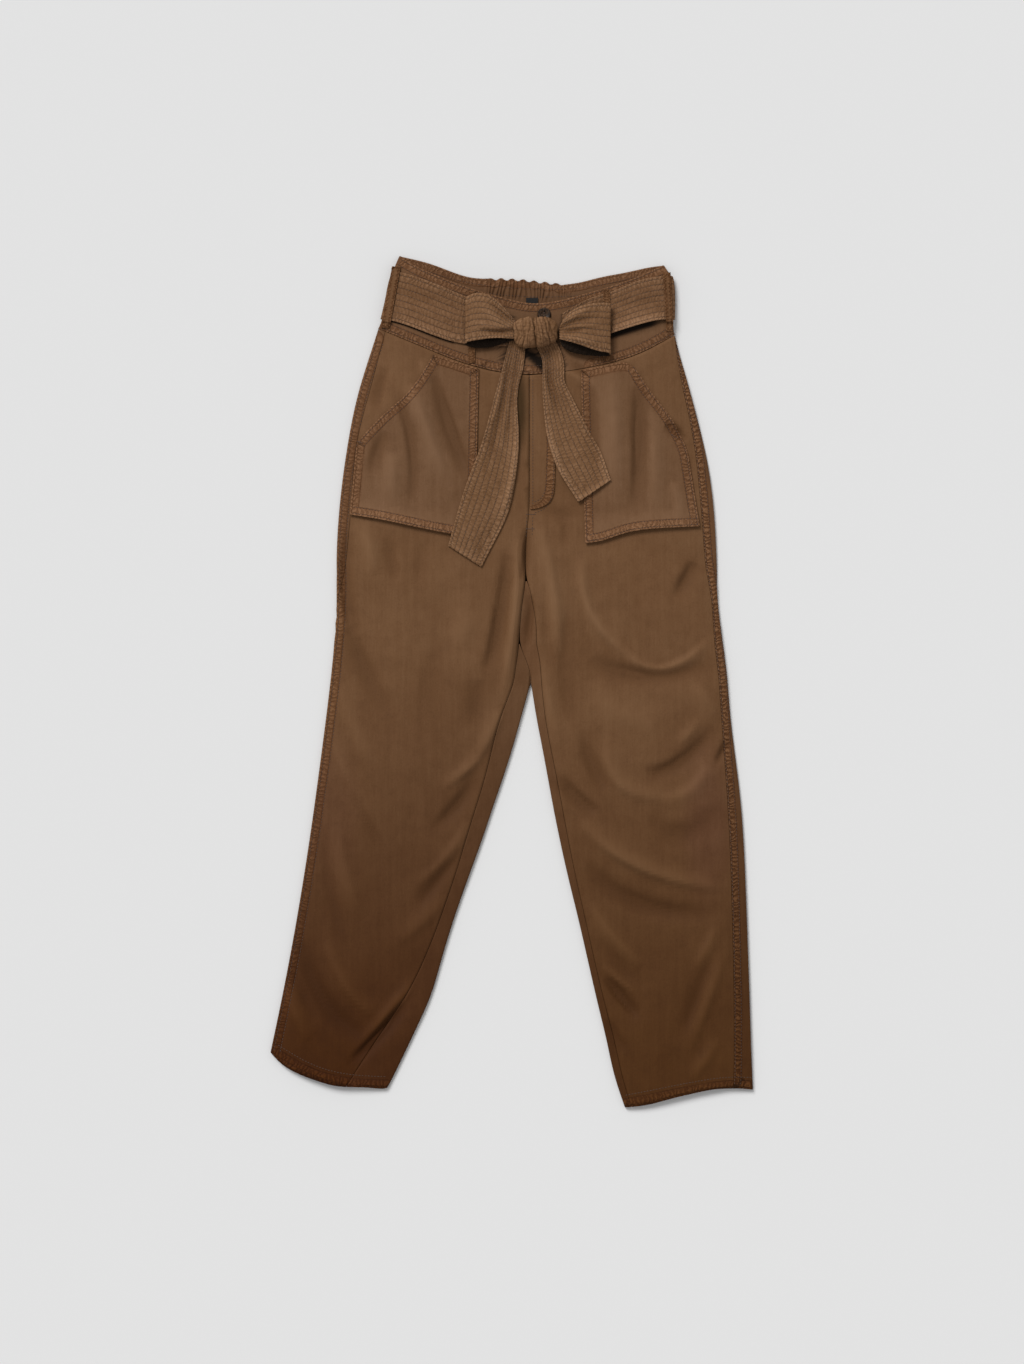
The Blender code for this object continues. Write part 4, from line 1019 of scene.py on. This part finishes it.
def horn(name, dark, light):
    """Polished imitation horn: brown streaks under a soft shine."""
    material, tree, surface, place = new_finish(name)
    streaks = speckle(tree, stretch(tree, place, (900.0, 180.0, 400.0)), 1.0, 4.0, 0.6)
    share = soften(tree, streaks, 0.4, 0.68)
    tree.links.new(mix_colours(tree, share, (*dark, 1), (*light, 1)), surface.inputs["Base Color"])
    scuffs = speckle(tree, place, 1500.0, 2.0, 0.5)
    tree.links.new(put(tree, "MapRange", scuffs, 0.3, 0.7, 0.35, 0.6), surface.inputs["Roughness"])
    fill(surface, {"Specular IOR Level": 0.2})
    return material


button_low, button_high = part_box("button")
button_seat = Vector(((button_low.x + button_high.x) / 2, (button_low.y + button_high.y) / 2, button_low.z))
blank = bmesh.new()
ring = [blank.verts.new(button_seat + MM * Vector((radius, 0, rise))) for radius, rise in BUTTON_PROFILE]
edges = [blank.edges.new(pair) for pair in zip(ring, ring[1:])]
bmesh.ops.spin(
    blank, geom=ring + edges, cent=button_seat, axis=(0, 0, 1), angle=2 * math.pi, steps=48, use_merge=True,
    use_duplicate=False,
)
bmesh.ops.remove_doubles(blank, verts=blank.verts, dist=0.01 * MM)
bmesh.ops.recalc_face_normals(blank, faces=blank.faces)
horn_button = link_mesh(blank, "horn_button")
drill = bmesh.new()
for number in range(4):
    quarter = Matrix.Rotation(math.radians(45 + 90 * number), 3, "Z")
    hole = button_seat + quarter @ Vector((HOLE_OFFSET * math.sqrt(2), 0, 0))
    bmesh.ops.create_cone(
        drill, cap_ends=True, segments=20, radius1=HOLE_RADIUS, radius2=HOLE_RADIUS, depth=DRILL_DEPTH,
        matrix=Matrix.Translation(hole),
    )
drill_bit = link_mesh(drill, "drill_bit")
cut = horn_button.modifiers.new("holes", "BOOLEAN")
cut.object = drill_bit
cut.operation = "DIFFERENCE"
cut.solver = "EXACT"
drilled = bpy.data.meshes.new_from_object(horn_button.evaluated_get(bpy.context.evaluated_depsgraph_get()))
horn_button.modifiers.clear()
horn_button.data = drilled
bpy.data.objects.remove(drill_bit)
drilled.materials.clear()
drilled.materials.append(horn("button_horn", (0.010, 0.006, 0.004), (0.085, 0.046, 0.024)))
drilled.set_sharp_from_angle(angle=BUTTON_SMOOTH)
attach(horn_button, "root")
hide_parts("button")

bars = bmesh.new()
for way in (-1, 1):
    seat = Matrix.Translation(button_seat + Vector((0, way * HOLE_OFFSET, THREAD_HEIGHT)))
    bmesh.ops.create_icosphere(
        bars, subdivisions=2, radius=1.0, matrix=seat @ Matrix.Diagonal((*THREAD_BAR, 1)),
    )
button_thread = link_mesh(bars, "button_thread")
button_thread.data.materials.append(RUST_THREAD)
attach(button_thread, "root")


# ---------------------------------------------------------------- belt
# The belt is the same twill doubled and stiffened by eight close rows of stitches, threaded through loops.
# Its lower edge stands a little off the band, so a dark gap shows under it, deepened by painted shadow on the
# band.
BELT_LINES = (ROW_SPACING / 2, ROW_SPACING, 60 * MM)
# the wash, and how strong and wide the painted highlights and shade of the puckers are, on the belt and the
# bow
BELT_WASH_AND_PUCKER_SHADING = {"wash": 0.45, "pucker": 0.62, "reach": 60 * MM}
BELT_CLOTH = twill(
    "belt_twill", (0.156, 0.084, 0.040), (0.245, 0.147, 0.086), (0.080, 0.038, 0.016), BELT_LINES,
    **BELT_WASH_AND_PUCKER_SHADING,
)
BELT_THREAD = thread("belt_thread", (0.128, 0.064, 0.029))


def long_side(runs, places, axis, more=()):
    """One long side of a ribbon: the rim sides nearest to some places, in order along an axis."""
    lines = [side_near(runs, x, y)[:, :2] for x, y in places]
    line = np.concatenate([*lines, MM * np.array(more, float).reshape(-1, 2)])
    return line[np.argsort(line[:, axis])]


def ribbon_lines(one, two):
    """The parallel rows of stitches that stiffen a ribbon."""
    return [between(one, two, (row + 0.5) / RIBBON_ROWS) for row in range(RIBBON_ROWS)]


belt_left_rims = sides_of("belt_left")
belt_left_edges = (
    long_side(belt_left_rims, [(-94, 470)], 0),
    long_side(belt_left_rims, [(-135, 423)], 0, more=[(-35, 396), (2, 394)]),
)
belt_left = dress("belt_left", 3, BELT_CLOTH, ribbon=belt_left_edges, own_folds=[
    Fold(-152, 425, -110, 412, -55, 398, 5, 0.8), Fold(-136, 462, -90, 448, -50, 436, 9, -0.5),
])

belt_right_rims = sides_of("belt_right")
belt_right_edges = (
    long_side(belt_right_rims, [(144, 470)], 0), long_side(belt_right_rims, [(145, 418)], 0),
)
belt_right = dress("belt_right", 3, BELT_CLOTH, ribbon=belt_right_edges, own_folds=[
    Fold(100, 402, 145, 417, 188, 427, 7, 1.9), Fold(118, 446, 150, 446, 184, 455, 7, -0.6),
])
sew("belt_stitches", surface_of(belt_left, belt_right), [
    *ribbon_lines(*belt_left_edges), *ribbon_lines(*belt_right_edges),
], BELT_THREAD)


# ---------------------------------------------------------------- belt loops
# Narrow folded carriers hold the belt, one at each side, two in front and one at the back.
# The two at the sides are drawn down round the edge of the garment.
LOOP_CLOTH = twill("loop_twill", TOBACCO, TOBACCO_BLOOM, TOBACCO_SHADE, (1.6 * MM, 20 * MM, 4 * MM))
LOOP_CLEAR = 0.5 * MM  # from a carrier's underside to what it goes over
LOOP_STIFF = 3.0 * MM  # how far along a carrier the cloth bridges a dip
UNDER_ALL = -0.2  # a height below everything, in metres


def draw_round(carrier, *beneath):
    """Draws a carrier down over the side of the belt and the waistband that it holds."""
    below = surface_of(*beneath)
    own = surface_of(carrier)
    drops = []
    for vertex in carrier.data.vertices:
        x, y, z = vertex.co
        underside = own.ray_cast(Vector((x, y, UNDER_ALL)), Vector((0, 0, 1)))[0]
        rests = [top_at(below, x, y + along)[0] for along in (-LOOP_STIFF, 0, LOOP_STIFF)]
        heights = [rest.z for rest in rests if rest is not None]
        bottom = underside.z if underside is not None else z
        drops.append(max(0, bottom - LOOP_CLEAR - max(heights)) if heights else 0)
    for vertex, drop in zip(carrier.data.vertices, drops):
        vertex.co.z -= drop


BANDS = (waistband_front, waistband_back)
LOOP_CUT = (0.012, 0.08)
SIDE_LOOP_CUT = (0.0125, 0.09)
for place, rests_on, beneath, cut, area in (
    ("side_left", ["belt_left_cloth"], (belt_left, belt_back, *BANDS), SIDE_LOOP_CUT, 0.00095),
    ("side_right", ["belt_right_cloth"], (belt_right, belt_back, *BANDS), LOOP_CUT, 0.0008),
    ("front_left", ["belt_left_cloth"], (), LOOP_CUT, 0.0008),
    ("front_right", ["belt_right_cloth"], (), LOOP_CUT, 0.0008),
    ("back", ["back_left_cloth"], (), LOOP_CUT, 0.0008),
):
    carrier = dress("belt_loop_" + place, 3, LOOP_CLOTH)
    if beneath:
        draw_round(carrier, *beneath)


# ---------------------------------------------------------------- bow
# The belt's ends are tied in a bow at the front: two open loops, a tight knot and two hanging tails.
# Its eight rows of stitches run on through every stretch.
BOW_CLOTH = twill(
    "bow_twill", (0.166, 0.091, 0.043), (0.262, 0.160, 0.094), (0.080, 0.039, 0.017), BELT_LINES,
    **BELT_WASH_AND_PUCKER_SHADING,
)
# A tail gathers towards the knot: the middle of the gather, where it begins and ends up the tail, how much
# the tail spreads there, and how far it shifts to the right.
Gather = namedtuple("Gather", "middle low high spread shift")
GATHER_LIFT = 12 * MM  # how far up into the knot the gathered end is drawn
# A stretch of the bow: places near its long sides, the axis that these run along, its cut and its creases.
Ribbon = namedtuple("Ribbon", "name first second axis flat area rests_on gather folds")
RIBBONS = (
    Ribbon(
        "tail_left", [(-41, 264), (-14, 358), (-7, 384)], [(8, 283), (10, 381)], 1, (0.056, 0.265), 0.0109,
        ["front_left_cloth", "pocket_left_cloth"], Gather(3, 345, 397, 0.35, 5), [
            Fold(-16, 190, 4, 250, 10, 330, 6, 1.6), Fold(-76, 160, -56, 148, -36, 134, 5, 0.9),
            Fold(-4, 392, -9, 330, -30, 250, 4, -1.1), Fold(3, 392, 0, 330, -10, 262, 3, -0.8),
            Fold(-8, 385, -14, 340, -26, 300, 3, 0.7),
        ],
    ),
    Ribbon(
        "tail_right", [(38, 317)], [(79, 318)], 1, (0.056, 0.185), 0.0073,
        ["front_right_cloth", "pocket_right_cloth"], Gather(36, 350, 393, 0.9, 3), [
            Fold(40, 300, 56, 250, 78, 209, 6, 1.7), Fold(78, 209, 97, 223, 118, 237, 5, 1.2),
            Fold(36, 388, 46, 350, 58, 310, 4, -1.2), Fold(35, 380, 40, 350, 46, 318, 3, 0.6),
        ],
    ),
    Ribbon(
        "bow_loop_left", [(-28, 453)], [(-28, 402)], 0, (0.13, 0.056), 0.0062,
        ["belt_left_cloth", "knot_cloth"], None, [
            Fold(7, 413, -18, 409, -38, 412, 4, -1.3), Fold(7, 418, -14, 422, -34, 437, 4, 0.8),
            Fold(7, 409, -12, 404, -34, 404, 4, 0.9), Fold(7, 416, -16, 415, -44, 420, 4, 0.8),
            Fold(7, 421, -10, 430, -26, 445, 3, -0.9),
        ],
    ),
    Ribbon(
        "bow_loop_right", [(93, 443)], [(88, 392)], 0, (0.13, 0.056), 0.0063,
        ["belt_right_cloth", "knot_cloth"], None, [
            Fold(55, 411, 70, 411, 88, 414, 4, -1.3), Fold(55, 408, 76, 401, 104, 398, 4, 0.9),
            Fold(55, 415, 74, 421, 98, 427, 4, -0.9), Fold(55, 418, 72, 428, 92, 437, 4, 0.9),
            Fold(55, 413, 76, 415, 104, 418, 4, 0.7),
        ],
    ),
)
bow_pieces = []
for ribbon in RIBBONS:
    rims = sides_of(ribbon.name)
    edges = (long_side(rims, ribbon.first, ribbon.axis), long_side(rims, ribbon.second, ribbon.axis))
    piece = dress(ribbon.name, 3, BOW_CLOTH, ribbon=edges, own_folds=ribbon.folds)
    if ribbon.gather is not None:
        middle, low, high, spread, shift = ribbon.gather
        points = read_points(piece.data)
        near_knot = settle(low * MM, high * MM, points[:, 1])
        points[:, 0] += near_knot * (spread * (points[:, 0] - middle * MM) + shift * MM)
        points[:, 1] += GATHER_LIFT * near_knot ** 3
        write_points(piece.data, points)
    sew(ribbon.name + "_stitches", surface_of(piece), ribbon_lines(*edges), BELT_THREAD)
    bow_pieces.append(piece)

# The knot is the belt's own cloth, drawn round in three pleated wraps of unlike width.
PLEATS = (  # place across, lean, width and depth, in millimetres from the knot's middle, as are those below
    (-1.0, -0.10, 1.2, 3.0), (12.5, -0.22, 1.0, 2.4), (-19, 0.16, 0.7, 1.1), (-15.4, 0.13, 0.6, 0.9),
    (-11.6, 0.09, 0.7, 1.1), (-7.4, 0.03, 0.6, 0.9), (3.4, -0.20, 0.6, 1.0), (7.6, -0.26, 0.7, 1.3),
    (18.6, -0.40, 0.7, 1.2),
)
LAST_WRAP = (12, 17)  # the wrap on the right begins here, and lies lower
LAST_WRAP_DEPTH = 2.0
LAST_WRAP_LEAN = 0.20
RUMPLE_BEND = 1.6  # how far a rumple bends a pleat sideways, and how far it rises
RUMPLE_RISE = 0.7
BACK_SHARE = 0.3  # how much of the pleats is left on the knot's sides and back
KNOT_SHIFT = -2.5 * MM
KNOT_SPREAD = (1.10, 1.04)  # how much wider and taller it is than the plain solid
KNOT_UNEVEN = (0.05, 0.07)  # and how much that varies
KNOT_HALF = (22, 16)  # half its width and height, so where its corners are
CORNER_SPREAD = 0.14
RIGHT_LIFT = 3.5 * MM  # the knot's lower right is drawn up by this
RIGHT_FROM = (2, 14)
LOWER_TO = (-14, -4)
ROWS_SHIFT = 30  # keeps the rows' distance from a seam above zero

knot = dress("knot", 4, BOW_CLOTH)
knot_low, knot_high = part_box("knot")
knot_middle = (np.array(knot_low) + np.array(knot_high)) / 2
points = read_points(knot.data)
normals = read_normals(knot.data)
across, upward = (points[:, 0] - knot_middle[0]) / MM, (points[:, 1] - knot_middle[1]) / MM
rumple = np.array([
    noise.noise(Vector((x / 7, y / 12, 1.0))) + 0.5 * noise.noise(Vector((x / 3, y / 7, 2.0)))
    for x, y in zip(across, upward)
])
bent = across + RUMPLE_BEND * rumple
sunk = sum(depth * np.exp(-np.abs(bent - x - lean * upward) / width) for x, lean, width, depth in PLEATS)
sunk += LAST_WRAP_DEPTH * settle(*LAST_WRAP, bent + LAST_WRAP_LEAN * upward) - RUMPLE_RISE * rumple
shown = BACK_SHARE + (1 - BACK_SHARE) * np.clip(normals[:, 2], 0, 1)
points -= MM * normals * (sunk * shown)[:, None]
corner = CORNER_SPREAD * np.clip(np.abs(across / KNOT_HALF[0]) * np.abs(upward / KNOT_HALF[1]), 0, 1)
for axis, shift in ((0, KNOT_SHIFT), (1, 0)):
    spread = KNOT_SPREAD[axis] + corner + KNOT_UNEVEN[axis] * rumple
    points[:, axis] = knot_middle[axis] + shift + (points[:, axis] - knot_middle[axis]) * spread
points[:, 1] += RIGHT_LIFT * (1 - settle(*LOWER_TO, upward)) * settle(*RIGHT_FROM, across)
write_points(knot.data, points)
# its rows run up it, and its pleats take the painted highlights and shade of crease ridges and hollows
rows = np.column_stack([MM * (across + ROWS_SHIFT), MM * upward, 0.5 - 0.5 * sunk])
knot.data.attributes["seam"].data.foreach_set("vector", rows.astype(np.float32).ravel())

# The bow and the belt stand off the cloth beneath, and painted shade darkens its colour wherever they close
# it in.
NOOK_REACH = 20 * MM
NOOK_WAYS = 30
NOOK_START = 0.4 * MM
NOOK_SLANT = 0.15  # ways that lie flatter on the cloth than this don't count
NOOK_CLOSED = (0.24, 0.75)  # the closed share from which a nook is dark, and is darkest
NOOK_PAINTED_SHADE = 0.9
# painted shade: the inside of each bow loop is darkened almost to black
INSIDE_PAINTED_SHADE = 0.96  # the inside of a bow loop, which faces up below these heights
INSIDE_BELOW = {"bow_loop_left_cloth": 21.0 * MM, "bow_loop_right_cloth": 22.4 * MM}
Gap = namedtuple("Gap", "line width first last")
# painted shadow on the band under the belt's raised lower sides and in the hollow under the knot between the
# tails
GAPS = (  # a long side that stands off the band, how wide the gap looks, and where it starts and ends
    Gap(belt_right_edges[1], 8.0 * MM, 88 * MM, 184 * MM),
    Gap(belt_left_edges[1], 2.4 * MM, -150 * MM, -40 * MM),
    Gap(plan((10, 394), (24, 384), (36, 372))[:, :2], 9 * MM, 0 * MM, 66 * MM),
)
GAP_PAINTED_SHADOW = 0.97
GAP_ENDS = (8 * MM, 22 * MM)  # how far a gap takes to widen, and to narrow again
NARROWEST = 0.25
GAP_EDGE = (0.4, 1.0)  # the shares of its width between which a gap fades out

ways = []
for number in range(NOOK_WAYS):
    rise = 1 - (2 * number + 1) / NOOK_WAYS
    turn = number * math.pi * (3 - math.sqrt(5))
    level = math.sqrt(1 - rise ** 2)
    ways.append(Vector((math.cos(turn) * level, math.sin(turn) * level, rise)))


def closed_share(vertex, around):
    """How much of what a vertex looks out on is closed in by cloth nearby, from 0 to 1."""
    start = vertex.co + NOOK_START * vertex.normal
    open_ways = [way for way in ways if way.dot(vertex.normal) > NOOK_SLANT]
    closed = 0.0
    for way in open_ways:
        far = around.ray_cast(start, way, NOOK_REACH)[3]
        closed += 0 if far is None else way.dot(vertex.normal) * (1 - far / NOOK_REACH)
    return closed / sum(way.dot(vertex.normal) for way in open_ways)


def gap_painted_shadow(gap, points):
    """How dark the painted shadow under a long side is at each point of the band that it stands off."""
    tree = plan_tree(gap.line)
    far = np.array([tree.find((x, y, 0))[2] for x, y, _ in points])
    taper = settle(gap.first, gap.first + GAP_ENDS[0], points[:, 0])
    taper *= 1 - settle(gap.last - GAP_ENDS[1], gap.last, points[:, 0])
    width = gap.width * (NARROWEST + (1 - NARROWEST) * taper)
    return GAP_PAINTED_SHADOW * taper * (1 - settle(*GAP_EDGE, far / width))


# painted shade: each vertex of these pieces is darkened by how much nearby cloth closes it in
shaded = (waistband_front, belt_left, belt_right, knot, *bow_pieces)
around = surface_of(front_left, front_right, *pockets, fly, *shaded)
for piece in shaded:
    closed_shares = np.array([closed_share(vertex, around) for vertex in piece.data.vertices])
    dark = NOOK_PAINTED_SHADE * settle(*NOOK_CLOSED, closed_shares)
    points = read_points(piece.data)
    # painted shade inside the bow loops
    if piece.name in INSIDE_BELOW:
        inside = (read_normals(piece.data)[:, 2] > 0) & (points[:, 2] < INSIDE_BELOW[piece.name])
        dark = np.where(inside, INSIDE_PAINTED_SHADE, dark)
    # painted shadow on the band along each gap
    if piece is waistband_front:
        for gap in GAPS:
            dark = np.maximum(dark, gap_painted_shadow(gap, points))
    darkness = piece.data.attributes.new("nook", "FLOAT", "POINT")
    darkness.data.foreach_set("value", dark.astype(np.float32))
